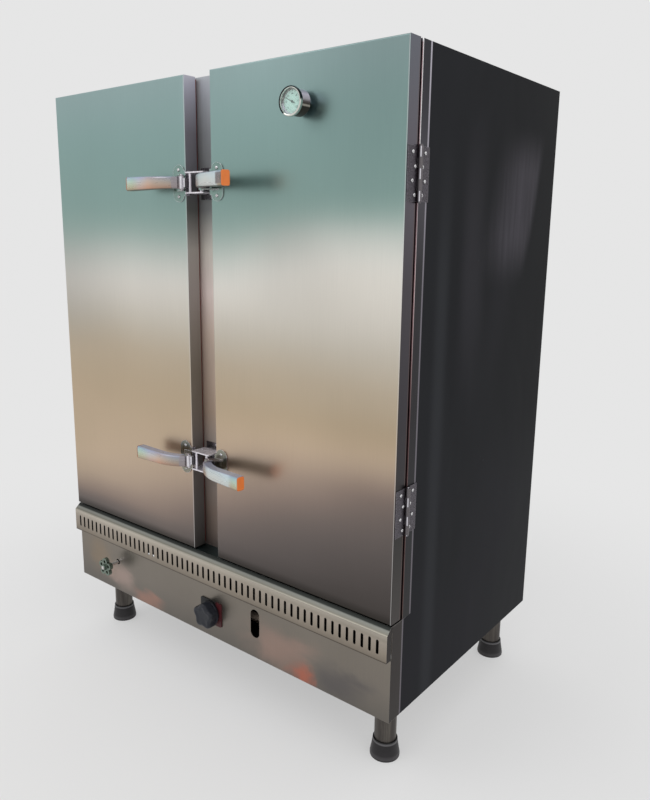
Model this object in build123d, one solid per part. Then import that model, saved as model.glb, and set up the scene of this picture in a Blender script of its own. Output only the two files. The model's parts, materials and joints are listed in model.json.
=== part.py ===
from build123d import *
import os
from math import cos, radians, sin

# Rice steamer cabinet with two doors, a gas-heated water tank below and rails for food trays inside.
# Millimetres. X runs along the front to the right, Y runs from the front to the back, Z is up.
# The origin is on the floor, in the middle of the whole width and of the whole depth.

# Overall sizes
cabinet_width = 1100.0
cabinet_depth = 700.0  # from the front of the doors to the outside of the back panel
leg_height = 160.0
base_height = 229.0  # from the underside of the body to the bottom of the doors
door_height = 1136.0
lever_reach = 60.0  # how far the closed latch levers stand in front of the doors
stub_reach = 77.45  # how far the pipe stubs stand behind the back panel

# Sheets and walls
outer_sheet = 1.2
liner_sheet = 1.0
frame_sheet = 1.5
tank_sheet = 1.5
wall_thickness = 48.0  # insulated wall, with both of its sheets

# Doors
door_gap = 84.0  # open strip between the two doors
door_thickness = 36.0
gasket_thickness = 9.0
gasket_width = 14.0
gasket_inset = 3.0  # from the door's edge to the gasket
gasket_gap = 0.3  # left between the gasket and the door frame
door_bottom_gap = 4.0
door_fold_radius = 2.5
core_side_gap = 12.0  # air left between the door's insulation and its folded sides

# Door frame
frame_depth = 27.0
stile_width = 48.0
head_height = 48.0
sill_height = 48.0
mullion_overlap = 20.0  # how far each door laps over the mullion

# Hinges
hinge_height = 100.0
hinge_from_bottom = 240.0  # from the bottom of the door to the middle of the lower hinge
hinge_from_top = 236.0
leaf_width = 38.0
leaf_thickness = 2.0
barrel_radius = 5.0
hinge_pin_radius = 3.0
hinge_head = 2.5
running_clearance = 0.05
knuckle_count = 5
knuckle_gap = 0.3
hinge_screw_pitch = 25.5

# Latches
latch_plate_width = 38.0
latch_plate_height = 84.0
latch_plate_thickness = 2.5
latch_plate_inset = 2.0
latch_screw_offset = 30.0
latch_lip_height = 56.0
latch_lip_depth = 12.0
latch_pivot_inset = 36.0  # from the middle of the cabinet to the lever's pivot
latch_pivot_reach = 22.0  # from the front of the door to the lever's pivot
cheek_thickness = 3.0
cheek_clearance = 0.5
rivet_radius = 3.0
rivet_head_radius = 5.0
rivet_head_height = 1.5
lever_boss_radius = 8.5
lever_boss_height = 28.0
lever_root_height = 26.0
lever_tip_height = 32.0
lever_length = 149.0  # from the pivot to the open end of the channel
lever_wall = 2.0
lever_rise_angle = 38.0  # angle at which the lever leaves its pivot
lever_bend_run = 70.0  # length along the door of the bent part
nose_length = 19.0
nose_radius = 3.5
nose_height = 20.0
upper_lever_open = 15.0  # degrees that the right door's upper lever stands open
lower_lever_open = 5.0  # degrees that the right door's lower lever stands open
plug_flange = 2.0
plug_edge_radius = 1.5
plug_insert = 20.0
plug_overlap = 1.5

# Keepers on the mullion
keeper_width = 72.0
keeper_height = 72.0
keeper_sheet = 3.0
keeper_arm_width = 60.0
keeper_arm_gap = 42.0
keeper_reach = 13.0  # in front of the doors
keeper_pin_offset = 18.0
keeper_pin_reach = 8.0
keeper_pin_radius = 3.0
keeper_screw_offset = 31.0

# Screws
screw_radius = 2.0
screw_hole_radius = 2.1
screw_head_radius = 4.0
screw_head_height = 1.6
screw_length = 8.0

# Thermometer on the right door
gauge_x = 311.0
gauge_below_top = 96.0
gauge_bezel_radius = 28.5
gauge_case_radius = 26.0
gauge_window_radius = 24.0
gauge_reach = 46.0  # front of the bezel in front of the door
gauge_case_depth = 32.0
gauge_case_wall = 1.2
gauge_fit = 0.1  # between the case and the ring, the glass or the dial
gauge_nut_width = 22.0
gauge_stem_radius = 4.0
gauge_stem_depth = 70.0  # behind the door's inner sheet
gauge_pointer_length = 20.0
gauge_pointer_angle = 153.0  # from straight right, turning up and to the left

# Vent strip below the doors
strip_reach = 12.0  # in front of the doors
strip_face_top = 19.0  # below the bottom of the doors
strip_face_bottom = 81.0
ledge_step = 4.0
vent_slot_pitch = 19.5
vent_end_margin = 20.0  # from the strip's end to the middle of the first slot, at least
vent_slot_width = 7.0
vent_slot_height = 33.0

# Lower front panel and what shows on it
panel_setback = 5.0  # behind the front of the doors
panel_return = 24.0
knob_x = 11.0
knob_drop = 160.0  # below the bottom of the doors
knob_radius = 24.0  # to the middle of a lobe
knob_lobe_radius = 11.0
knob_lobes = 5
knob_depth = 30.0
knob_socket = 14.0  # how deep the spindle goes into the knob
spindle_radius = 4.0
escutcheon_width = 74.0
escutcheon_height = 64.0
escutcheon_thickness = 3.0
wheel_from_left = 174.0
wheel_drop = 141.0
wheel_reach = 41.0  # front of the handwheel in front of the doors
wheel_lobe_ring = 16.0
wheel_lobe_radius = 10.0
wheel_thickness = 10.0
stem_radius = 5.0
stem_travel = 6.0
port_x = 162.0
port_drop = 139.0
port_width = 29.0
port_height = 74.0

# Water tank
flame_gap = 33.5  # between the burners and the tank
tank_rim = 28.0
tank_ledge = 8.0
bridge_overlap = 12.0  # how far the bridge reaches past each partition wall
plate_sheet = 1.5
plate_hole_radius = 8.0
plate_hole_pitch = 55.0
plate_margin = 30.0

# Tray racks
tray_pitch = 80.0
first_tray_above_sill = 17.0
last_tray_space = 80.0  # least height above the top pair of rails
rail_width = 30.0
rail_leg_height = 14.0
rail_sheet = 1.5
upright_width = 25.0
upright_depth = 12.0

# Gas train
burner_count = 4
burner_pitch = 220.0
burner_radius = 19.0
burner_bore = 17.0
burner_port_radius = 2.0
burner_ports = 12
manifold_radius = 11.0
supply_radius = 8.0
supply_bend = 30.0
supply_from_right = 80.0
supply_rise = 18.0  # above the middle of the knob
cock_radius = 17.0
shield_sheet = 1.2
shield_lip = 10.0
shield_half_width = 430.0
seat_gap = 0.3  # left between pieces that rest on each other or meet end to end

# Base frame, legs and levelling feet
rail_leg = 35.0
cross_rail_width = 25.0
rail_thickness = 3.0
cross_bar_height = 13.0
cross_bar_width = 20.0
leg_side_gap = 4.4  # between a leg's tube and the side rail
front_leg_setback = 98.0
leg_back_gap = 2.2  # between a back leg's tube and the back rail
leg_tube_radius = 25.4
leg_tube_wall = 1.5
leg_plate = 90.0
leg_plate_thickness = 4.0
leg_tube_bottom = 20.0
foot_flare = 6.0  # how much wider the foot is at its base than at its top
foot_top_wall = 2.7
foot_height = 45.0
foot_floor = 19.7
foot_bore_clearance = 0.4
stud_radius = 6.0
stud_root = 5.0
stud_top = 78.0
insert_thickness = 12.0

# Back outlets
flue_radius = 50.0
flue_wall = 1.5
flue_flange = 140.0
flue_height = 250.0
relief_radius = 12.5
relief_wall = 1.2
relief_below_top = 85.0  # from the top of the cabinet
stub_radius = 10.5
stub_bore = 8.0
stub_length = 30.0
water_from_left = 100.0
water_below_rim = 33.0

# Float valve in the tank
float_arm_length = 120.0
float_radius = 28.0
float_arm_radius = 2.5

# Levels
body_bottom = leg_height
door_bottom = leg_height + base_height
cabinet_top = door_bottom + door_height
ledge_top = door_bottom - door_bottom_gap
sill_top = ledge_top + sill_height
head_bottom = cabinet_top - head_height
tank_rim_top = sill_top
frame_low = body_bottom + outer_sheet
burner_level = frame_low + rail_leg + seat_gap + burner_radius
tank_bottom = burner_level + burner_radius + flame_gap
chamber_height = head_bottom - sill_top

# Planes from front to back
half_width = cabinet_width / 2
plug_corner_x = lever_length + plug_flange - plug_edge_radius
plug_corner_y = lever_reach - latch_pivot_reach - plug_edge_radius
open_angle = radians(upper_lever_open)
open_corner = plug_corner_x * sin(open_angle) + plug_corner_y * cos(open_angle)
open_lever_reach = latch_pivot_reach + open_corner + plug_edge_radius
total_depth = open_lever_reach + cabinet_depth + stub_reach
door_front = open_lever_reach - total_depth / 2
door_back = door_front + door_thickness
frame_front = door_back + gasket_thickness
frame_back = frame_front + frame_depth
back_outside = door_front + cabinet_depth
liner_back = back_outside - wall_thickness
strip_front = door_front - strip_reach
panel_front = door_front + panel_setback
stub_end = back_outside + stub_reach

# Places across the width
door_inner = door_gap / 2
mullion_half = door_inner + mullion_overlap
bridge_half = mullion_half + bridge_overlap
chamber_outer = half_width - stile_width
side_inside = half_width - outer_sheet
hinge_x = half_width + barrel_radius
hinge_y = (door_back + frame_front) / 2
hinge_levels = [door_bottom + hinge_from_bottom, cabinet_top - hinge_from_top]
latch_levels = hinge_levels
pivot_y = door_front - latch_pivot_reach
knob_level = door_bottom - knob_drop
wheel_level = door_bottom - wheel_drop
port_level = door_bottom - port_drop
gauge_level = cabinet_top - gauge_below_top
gauge_front = door_front - gauge_reach
supply_level = knob_level + supply_rise
relief_level = cabinet_top - relief_below_top
wheel_x = wheel_from_left - half_width
water_x = water_from_left - half_width
water_level = tank_rim_top - water_below_rim
supply_x = half_width - supply_from_right
leg_x = side_inside - rail_leg - leg_side_gap - leg_tube_radius
back_rail_front = back_outside - 2 * outer_sheet - cross_rail_width
front_leg_y = door_front + front_leg_setback
back_leg_y = back_rail_front - leg_back_gap - leg_tube_radius
leg_places = [(side * leg_x, y) for side in (-1, 1) for y in (front_leg_y, back_leg_y)]
foot_top_radius = leg_tube_radius + foot_bore_clearance + foot_top_wall
foot_base_radius = foot_top_radius + foot_flare


# Shapes used again and again


def block(x, y, z):
    """A block between two values along each axis."""
    size = Box(x[1] - x[0], y[1] - y[0], z[1] - z[0])
    return Pos((x[0] + x[1]) / 2, (y[0] + y[1]) / 2, (z[0] + z[1]) / 2) * size


def rod_x(x, y, z, radius):
    return Pos((x[0] + x[1]) / 2, y, z) * Rot(0, 90, 0) * Cylinder(radius, x[1] - x[0])


def rod_y(x, y, z, radius):
    return Pos(x, (y[0] + y[1]) / 2, z) * Rot(90, 0, 0) * Cylinder(radius, y[1] - y[0])


def rod_z(x, y, z, radius):
    return Pos(x, y, (z[0] + z[1]) / 2) * Cylinder(radius, z[1] - z[0])


def along_x(face, x):
    """A face drawn in Y and Z, drawn out between two values of X."""
    return extrude(Plane.YZ.offset(x[0]) * face, amount=x[1] - x[0])


def along_y(face, y):
    """A face drawn in X and Z, drawn out between two values of Y."""
    return extrude(Plane.XZ.offset(-y[1]) * face, amount=y[1] - y[0])


def along_z(face, z):
    """A face drawn in X and Y, drawn out between two values of Z."""
    return extrude(Pos(0, 0, z[0]) * face, amount=z[1] - z[0])


def shifted(start, end, distance):
    """The two ends of a line moved sideways to its right."""
    dx = end[0] - start[0]
    dy = end[1] - start[1]
    length = (dx * dx + dy * dy) ** 0.5
    move = (dy / length * distance, -dx / length * distance)
    return (
        (start[0] + move[0], start[1] + move[1]),
        (end[0] + move[0], end[1] + move[1]),
    )


def crossing(first, second):
    """Where two lines meet."""
    (ax, ay), (bx, by) = first
    (cx, cy), (dx, dy) = second
    cross = (bx - ax) * (dy - cy) - (by - ay) * (dx - cx)
    t = ((cx - ax) * (dy - cy) - (cy - ay) * (dx - cx)) / cross
    return (ax + t * (bx - ax), ay + t * (by - ay))


def folded_sheet(points, thickness):
    """The section of a bent sheet: its outer line and the same line moved to its right."""
    inner = [shifted(a, b, thickness) for a, b in zip(points, points[1:])]
    back = [inner[0][0]]
    back += [crossing(a, b) for a, b in zip(inner, inner[1:])]
    back += [inner[-1][1]]
    return make_face(Polyline(*points, *reversed(back), close=True))


def mirrored(shape):
    """The same shape on the other side of the cabinet."""
    return mirror(shape, about=Plane.YZ)


def unchanged(shape):
    return shape


def both_sides(shape):
    return [shape, mirrored(shape)]


def group(shapes):
    """Separate solids kept in one file."""
    return Compound([solid for shape in shapes for solid in shape.solids()])


def lobed_disc(lobes, ring, lobe_radius, centre_radius, first_angle=90.0):
    """A disc with round lobes about it, drawn about its own middle."""
    face = Circle(centre_radius)
    for i in range(lobes):
        angle = radians(first_angle + 360.0 * i / lobes)
        face += Pos(ring * cos(angle), ring * sin(angle)) * Circle(lobe_radius)
    return face


# Outer casing


def side_panel():
    """Right side: a sheet that steps back beside the door frame, with a folded rear edge."""
    outline = Polyline(
        (frame_front, body_bottom),
        (back_outside, body_bottom),
        (back_outside, cabinet_top),
        (frame_back, cabinet_top),
        (frame_back, ledge_top),
        (frame_front, ledge_top),
        close=True,
    )
    sheet = along_x(make_face(outline), (side_inside, half_width))
    fold = block(
        (side_inside - 15.0, side_inside),
        (back_outside - 2 * outer_sheet, back_outside - outer_sheet),
        (body_bottom, cabinet_top - outer_sheet),
    )
    return sheet + fold


def top_panel():
    return block(
        (-side_inside, side_inside),
        (frame_back, back_outside),
        (cabinet_top - outer_sheet, cabinet_top),
    )


def back_panel():
    """Flat sheet with a hole for each pipe that comes out at the back."""
    plane = (back_outside - outer_sheet, back_outside)
    panel = block((-side_inside, side_inside), plane, (body_bottom, cabinet_top - outer_sheet))
    panel -= rod_y(0, plane, flue_height, flue_radius)
    panel -= rod_y(supply_x, plane, supply_level, supply_radius + 1)
    panel -= rod_y(water_x, plane, water_level, stub_bore + 2)
    for x in relief_places():
        panel -= rod_y(x, plane, relief_level, relief_radius)
    return panel


def relief_places():
    middle = (mullion_half + chamber_outer) / 2
    return [-middle, middle]


# Door frame


def channel(width):
    """Section of a frame member, open at the back, drawn across its width."""
    points = [
        (width / 2, frame_back),
        (width / 2, frame_front),
        (-width / 2, frame_front),
        (-width / 2, frame_back),
    ]
    return folded_sheet(points, frame_sheet)


def door_frame():
    """Stiles, head, sill and mullion, each a folded channel, welded edge to edge."""
    stile_middle = half_width - stile_width / 2
    stile = along_z(Pos(stile_middle, 0) * channel(stile_width), (ledge_top, cabinet_top))
    for level in hinge_levels:
        for y, z in leaf_screws(level, 1):
            stile -= rod_x((half_width - 3, half_width + 1), y, z, screw_hole_radius)
    mullion = along_z(channel(2 * mullion_half), (sill_top, head_bottom))
    for level in latch_levels:
        for z in keeper_screw_levels(level):
            mullion -= rod_y(0, (frame_front - 1, frame_front + 3), z, screw_hole_radius)
    cross = (-chamber_outer, chamber_outer)
    head = along_x(cross_channel(head_bottom, cabinet_top), cross)
    sill = along_x(cross_channel(ledge_top, sill_top), cross)
    return group(both_sides(stile) + [mullion, head, sill])


def cross_channel(bottom, top):
    """Section of the head or the sill, drawn in Y and Z."""
    points = [(frame_back, bottom), (frame_front, bottom), (frame_front, top), (frame_back, top)]
    return folded_sheet(points, frame_sheet)


# Chamber walls


def chamber_liners():
    """Inner sheets: the outer wall of each chamber, the roof, the back and both partition walls."""
    deep = (frame_back, liner_back)
    high = (sill_top, head_bottom)
    side = block((chamber_outer, chamber_outer + liner_sheet), deep, high)
    inner = block((mullion_half - liner_sheet, mullion_half), deep, high)
    reach = chamber_outer + liner_sheet
    roof = block((-reach, reach), deep, (head_bottom, head_bottom + liner_sheet))
    rear = block(
        (-reach, reach),
        (liner_back, liner_back + liner_sheet),
        (sill_top, head_bottom + liner_sheet),
    )
    pipes = []
    for x in relief_places():
        through = (liner_back, liner_back + liner_sheet)
        rear -= rod_y(x, through, relief_level, relief_radius)
        pipes.append(relief_pipe(x))
    return group(both_sides(side) + both_sides(inner) + [roof, rear] + pipes)


def relief_pipe(x):
    """Open pipe from the chamber to the outside, with a collar against the back panel."""
    pipe = rod_y(x, (liner_back, stub_end - 5), relief_level, relief_radius)
    pipe += rod_y(x, (back_outside, back_outside + 2), relief_level, relief_radius + 8)
    return pipe - rod_y(x, (liner_back, stub_end - 5), relief_level, relief_radius - relief_wall)


def wall_insulation():
    """Slabs that fill the space between the casing and the liners."""
    deep = (frame_back, back_outside - 2 * outer_sheet)
    above = (sill_top, cabinet_top - outer_sheet)
    side = block((chamber_outer + liner_sheet, side_inside), deep, above)
    reach = chamber_outer + liner_sheet
    roof = block((-reach, reach), deep, (head_bottom + liner_sheet, cabinet_top - outer_sheet))
    rear = block(
        (-reach, reach),
        (liner_back + liner_sheet, back_outside - 2 * outer_sheet),
        (sill_top, head_bottom + liner_sheet),
    )
    for x in relief_places():
        rear -= rod_y(x, (liner_back, back_outside), relief_level, relief_radius)
    inner = mullion_half - liner_sheet
    middle = block((-inner, inner), (frame_back, liner_back), (sill_top, head_bottom))
    return group(both_sides(side) + [roof, rear, middle])


# Tray racks


def tray_racks():
    """Uprights on each chamber wall with angle rails for the trays."""
    foot = sill_top + 6.0
    top = head_bottom - 7.0
    pieces = []
    for wall, inward in ((chamber_outer, -1), (mullion_half, 1)):
        for y in upright_places():
            section = Pos(wall, y) * upright_section(inward)
            pieces.append(along_z(section, (foot, top)))
        face = wall + inward * upright_depth
        for z in tray_levels():
            pieces.append(tray_rail(face, inward, z))
    return group([copy for piece in pieces for copy in both_sides(piece)])


def upright_section(inward):
    """A shallow channel, open towards the wall that it stands on."""
    half = upright_width / 2
    deep = inward * upright_depth
    points = [(0, inward * half), (deep, inward * half), (deep, -inward * half), (0, -inward * half)]
    return folded_sheet(points, rail_sheet)


def upright_places():
    front = frame_back + 40.0
    back = liner_back - 40.0
    return [front, (front + back) / 2, back]


def tray_levels():
    """Undersides of the rails' flat legs, from the lowest pair up."""
    free = chamber_height - first_tray_above_sill - last_tray_space
    count = int(free / tray_pitch) + 1
    return [sill_top + first_tray_above_sill + i * tray_pitch for i in range(count)]


def tray_rail(face, inward, z):
    """An angle: a flat leg that carries the tray and a leg that hangs down on the uprights."""
    flat = sorted((face, face + inward * rail_width))
    leg = sorted((face, face + inward * rail_sheet))
    deep = (frame_back + 13.0, liner_back - 12.0)
    top = z + rail_sheet
    return block(flat, deep, (z, top)) + block(leg, deep, (top - rail_leg_height, top))


# Water tank and what is in it


def water_tank():
    """Open tank under both chambers, with a rim, a ledge and a bridge under the partition."""
    side = chamber_outer
    deep = (frame_back, liner_back + 0.5)
    tank = block((-side, side), deep, (tank_bottom, tank_rim_top))
    tank -= block(
        (-side + tank_sheet, side - tank_sheet),
        (deep[0] + tank_sheet, deep[1] - tank_sheet),
        (tank_bottom + tank_sheet, tank_rim_top + 1),
    )
    rim = (tank_rim_top - 2.0, tank_rim_top)
    for x in ((-side - tank_rim, -side), (side, side + tank_rim)):
        tank += block(x, deep, rim)
    for x in ((-side, -side + tank_ledge), (side - tank_ledge, side)):
        tank += block(x, deep, rim)
    tank += block((-bridge_half, bridge_half), deep, rim)
    tank -= rod_z(wheel_x, drain_y(), (tank_bottom - 1, tank_bottom + 3), stub_bore)
    tank -= rod_y(water_x, (deep[1] - 3, deep[1] + 1), water_level, stub_bore + 2)
    return tank


def drain_y():
    return frame_back + 45.0


def steam_plates():
    """Perforated plates that lie on the tank's ledges and spread the steam."""
    x = (bridge_half - tank_ledge, chamber_outer - 2.0)
    y = (frame_back + 48.0, liner_back - 40.0)
    plate = block(x, y, (tank_rim_top, tank_rim_top + plate_sheet))
    columns = int((x[1] - x[0] - 2 * plate_margin) / plate_hole_pitch) + 1
    rows = int((y[1] - y[0] - 2 * plate_margin) / plate_hole_pitch) + 1
    holes = GridLocations(plate_hole_pitch, plate_hole_pitch, columns, rows)
    middle = Pos((x[0] + x[1]) / 2, (y[0] + y[1]) / 2)
    cut = Sketch() + [middle * place * Circle(plate_hole_radius) for place in holes]
    plate -= along_z(cut, (tank_rim_top - 1, tank_rim_top + plate_sheet + 1))
    return group(both_sides(plate))


def float_pivot():
    return (water_x, liner_back - 60.0, water_level - 8.0)


def float_valve():
    """Inlet stub at the back, pipe into the tank and the valve block with ears for the arm."""
    pipe = rod_y(water_x, (liner_back - 30, back_outside), water_level, stub_bore + 2)
    nut = rod_y(water_x, (back_outside, back_outside + 10), water_level, stub_radius + 5)
    stub = rod_y(water_x, (back_outside + 10, stub_end), water_level, stub_radius)
    x, y, z = float_pivot()
    body = block((x - 14, x + 14), (liner_back - 48, liner_back - 12), (z - 12, z + 26))
    ears = block((x - 9, x + 9), (y - 7, liner_back - 48), (z - 7, z + 7))
    ears -= block((x - 5, x + 5), (y - 8, liner_back - 49), (z - 8, z + 8))
    valve = pipe + nut + stub + body + ears
    valve -= rod_y(water_x, (liner_back - 40, stub_end + 1), water_level, stub_bore)
    return valve - rod_x((x - 12, x + 12), y, z, 2 + running_clearance)


def float_arm():
    """Arm with its pivot pin and ball, hanging at its lowest place."""
    x, y, z = float_pivot()
    drop = tank_bottom + tank_sheet + 8.0 + float_radius
    tip = (x, y - float_arm_length, drop)
    run = ((tip[1] - y) ** 2 + (tip[2] - z) ** 2) ** 0.5
    direction = Vector(0, tip[1] - y, tip[2] - z).normalized()
    hub = rod_x((x - 4.5, x + 4.5), y, z, 5.0)
    pin = rod_x((x - 9, x + 9), y, z, 2.0)
    arm = Plane(Vector(x, y, z) + direction * run / 2, z_dir=direction) * Cylinder(
        float_arm_radius, run
    )
    return hub + pin + arm + Pos(*tip) * Sphere(float_radius)


def drain_valve():
    """Valve behind the lower panel: inlet from the tank, bored for the stem, outlet facing down."""
    z = wheel_level
    front = panel_front + 23.0
    seat = panel_front + 62.0
    body = rod_y(wheel_x, (front, seat + 10), z, 16.0)
    bonnet = along_y(Pos(wheel_x, z) * RegularPolygon(13.0, 6), (front - 11, front))
    inlet = rod_y(wheel_x, (seat + 10, drain_y()), z, stub_radius)
    elbow = Pos(wheel_x, drain_y(), z) * Sphere(stub_radius)
    riser = rod_z(wheel_x, drain_y(), (z, tank_bottom), stub_radius)
    collar = rod_z(wheel_x, outlet_y(), (body_bottom + 20, z), stub_radius + 3)
    outlet = rod_z(wheel_x, outlet_y(), (body_bottom - 10, body_bottom + 20), stub_radius)
    valve = body + bonnet + inlet + elbow + riser + collar + outlet
    valve -= rod_y(wheel_x, (front - 12, stem_seat()), z, stem_radius + running_clearance)
    valve -= rod_z(wheel_x, outlet_y(), (body_bottom - 11, z - stem_radius - 4), stub_bore)
    return valve


def outlet_y():
    return panel_front + 43.0


def stem_seat():
    return panel_front + 59.0


def drain_stem():
    """Bright stem from the valve's seat to the front, with a collar behind the handwheel."""
    z = wheel_level
    front = door_front - wheel_reach
    stem = rod_y(wheel_x, (front - 7, stem_seat() - seat_gap), z, stem_radius)
    behind = front + wheel_thickness + seat_gap
    return stem + rod_y(wheel_x, (behind, behind + 6), z, 8.0)


def handwheel():
    """Small five-lobed wheel with a hole through each lobe, and the nut in front of it."""
    z = wheel_level
    front = door_front - wheel_reach
    face = lobed_disc(5, wheel_lobe_ring, wheel_lobe_radius, wheel_lobe_ring)
    for i in range(5):
        angle = radians(90.0 + 72.0 * i)
        hole = Pos(wheel_lobe_ring * cos(angle), wheel_lobe_ring * sin(angle)) * Circle(4.5)
        face -= hole
    bore = Circle(stem_radius + running_clearance)
    wheel = along_y(Pos(wheel_x, z) * (face - bore), (front, front + wheel_thickness))
    nut = along_y(Pos(wheel_x, z) * (RegularPolygon(8.5, 6) - bore), (front - 5, front))
    return group([wheel, nut])


# Gas train


def burner_places():
    first = -burner_pitch * (burner_count - 1) / 2
    return [first + i * burner_pitch for i in range(burner_count)]


def burner_depth():
    return (frame_back + 28.0, liner_back - 60.0)


def burners():
    """Bar burners with a row of gas ports on top and an open front end."""
    z = burner_level
    front, back = burner_depth()
    step = (back - front - 80.0) / (burner_ports - 1)
    bars = []
    for x in burner_places():
        bar = rod_y(x, (front, back), z, burner_radius)
        bar += rod_y(x, (front, front + 12), z, burner_radius + 3)
        bar -= rod_y(x, (front - 1, back - 2), z, burner_bore)
        for i in range(burner_ports):
            y = front + 40.0 + i * step
            bar -= rod_z(x, y, (z + 5, z + burner_radius + 1), burner_port_radius)
        bars.append(bar)
    return group(bars)


def burner_shield():
    """Sheet under the burners, fixed below the cross bars, with a notch for the drain outlet."""
    top = frame_low + rail_leg - cross_bar_height
    front = panel_front + 30.0
    back = liner_back - 12.0
    points = [
        (front, top + shield_lip),
        (front, top - shield_sheet),
        (back, top - shield_sheet),
        (back, top + shield_lip),
    ]
    section = folded_sheet(list(reversed(points)), shield_sheet)
    shield = along_x(section, (-shield_half_width, shield_half_width))
    collar = stub_radius + 6.5
    notch_x = (wheel_x - collar, wheel_x + collar)
    notch_y = (front - 1, outlet_y() + collar)
    return shield - block(notch_x, notch_y, (top - 5, top + shield_lip + 1))


def manifold_y():
    return frame_back + 2.0


def gas_manifold():
    """Pipe across the front of the burners with injectors, an inlet boss and two straps."""
    z = burner_level
    y = manifold_y()
    reach = burner_places()[-1] + 30.0
    pipe = rod_x((-reach, reach), y, z, manifold_radius)
    for x in burner_places():
        pipe += rod_y(x, (y, burner_depth()[0] + 8), z, 5.0)
    pipe += rod_y(knob_x, (manifold_boss_y(), y), z, manifold_radius - 1)
    for x in (-burner_pitch, burner_pitch):
        wide = (x - 12.5, x + 12.5)
        rest = frame_low + rail_leg + seat_gap
        pipe += block(wide, (y - 14, cross_bar_places()[0] + cross_bar_width), (rest, rest + 3))
        pipe += block(wide, (y - 2, y + 2), (rest, z))
    return pipe


def manifold_boss_y():
    return manifold_y() - manifold_radius - 4.0


def gas_cock():
    """Cock behind the knob: bored body, side inlet and an outlet pipe down to the manifold."""
    front = panel_front + 9.0
    back = front + 38.0
    body = rod_y(knob_x, (front, back), knob_level, cock_radius)
    inlet = rod_x((knob_x, knob_x + 34), front + 24, supply_level, supply_radius + 3)
    neck = rod_y(knob_x, (front + 16, front + 32), supply_level, supply_radius + 3)
    outlet = rod_y(knob_x, (back - 12, manifold_boss_y() - seat_gap), burner_level, supply_radius)
    cock = body + inlet + neck + outlet
    return cock - rod_y(knob_x, (front - 1, front + 28), knob_level, spindle_bore())


def spindle_bore():
    return spindle_radius + running_clearance


def supply_pipe():
    """Bent pipe from the stub at the back to the cock's side inlet."""
    y = panel_front + 33.0
    start = knob_x + 34.0
    points = [(start, y), (supply_x, y), (supply_x, back_outside)]
    path = FilletPolyline(*[(px, py, supply_level) for px, py in points], radius=supply_bend)
    section = Plane(path @ 0, z_dir=path % 0) * Circle(supply_radius)
    pipe = sweep(section, path)
    nut = rod_y(supply_x, (back_outside, back_outside + 10), supply_level, stub_radius + 5)
    stub = rod_y(supply_x, (back_outside + 10, stub_end), supply_level, stub_radius)
    bore = rod_y(supply_x, (back_outside + 5, stub_end + 1), supply_level, stub_bore - 2)
    return pipe + nut + stub - bore


def gas_knob():
    """Five-lobed knob with a round skirt behind it, and the spindle in its socket."""
    front = door_front - knob_depth
    back = panel_front - escutcheon_thickness - 2.0
    grip = along_y(
        Pos(knob_x, knob_level) * lobed_disc(knob_lobes, knob_radius, knob_lobe_radius, 25.0),
        (front, back - 5),
    )
    grip = fillet(grip.faces().sort_by(Axis.Y)[0].edges(), 3.0)
    skirt = rod_y(knob_x, (back - 5, back), knob_level, 31.0)
    socket = rod_y(knob_x, (back - knob_socket, back + 1), knob_level, spindle_bore())
    spindle_y = (back - knob_socket + seat_gap, panel_front + 9.0 + 27.0)
    spindle = rod_y(knob_x, spindle_y, knob_level, spindle_radius)
    return group([grip + skirt - socket, spindle])


def escutcheon():
    y = (panel_front - escutcheon_thickness, panel_front)
    face = RectangleRounded(escutcheon_width, escutcheon_height, 4.0)
    plate = along_y(Pos(knob_x, knob_level) * face, y)
    return plate - rod_y(knob_x, (y[0] - 1, y[1] + 1), knob_level, spindle_radius + 3)


# Lower front


def vent_strip():
    """Folded strip with a sloping ledge on top, a row of upright slots and closed ends."""
    face_top = door_bottom - strip_face_top
    bottom = door_bottom - strip_face_bottom
    points = [
        (panel_front, bottom),
        (strip_front, bottom),
        (strip_front, face_top),
        (strip_front + ledge_step, face_top + ledge_step),
        (door_front, ledge_top - ledge_step),
        (door_front + ledge_step, ledge_top),
        (frame_front, ledge_top),
    ]
    strip = along_x(folded_sheet(points, frame_sheet), (-half_width, half_width))
    end = make_face(Polyline(*points[:-1], (panel_front, ledge_top), close=True))
    for x in ((-half_width, -half_width + frame_sheet), (half_width - frame_sheet, half_width)):
        strip += along_x(end, x)
    count = int((cabinet_width - 2 * vent_end_margin) / vent_slot_pitch) + 1
    first = -vent_slot_pitch * (count - 1) / 2
    middle = (face_top + bottom) / 2
    slots = Sketch()
    for i in range(count):
        place = Pos(first + i * vent_slot_pitch, middle)
        slots += place * SlotOverall(vent_slot_height, vent_slot_width, rotation=90)
    return strip - along_y(slots, (strip_front - 1, strip_front + frame_sheet + 1))


def lower_panel():
    """Shallow tray with folded sides and bottom, and the openings for what passes through it."""
    deep = (panel_front, frame_front)
    top = door_bottom - strip_face_bottom
    side_top = ledge_top - frame_sheet
    panel = block(
        (-half_width, half_width),
        (panel_front, panel_front + outer_sheet),
        (body_bottom, top),
    )
    side = block((side_inside, half_width), deep, (body_bottom, side_top))
    front_gap = frame_sheet + 1.0
    side -= block(
        (side_inside - 1, half_width + 1),
        (deep[0] - 1, deep[0] + front_gap),
        (top, side_top + 1),
    )
    for piece in both_sides(side):
        panel += piece
    panel += block(
        (-half_width, half_width),
        (panel_front, panel_front + panel_return),
        (body_bottom, body_bottom + outer_sheet),
    )
    through = (panel_front - 1, panel_front + 3)
    panel -= rod_y(wheel_x, through, wheel_level, stem_radius + 3)
    panel -= rod_y(knob_x, through, knob_level, spindle_radius + 2)
    port = Pos(port_x, port_level) * SlotOverall(port_height, port_width, rotation=90)
    return panel - along_y(port, through)


# Base frame and legs


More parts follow.
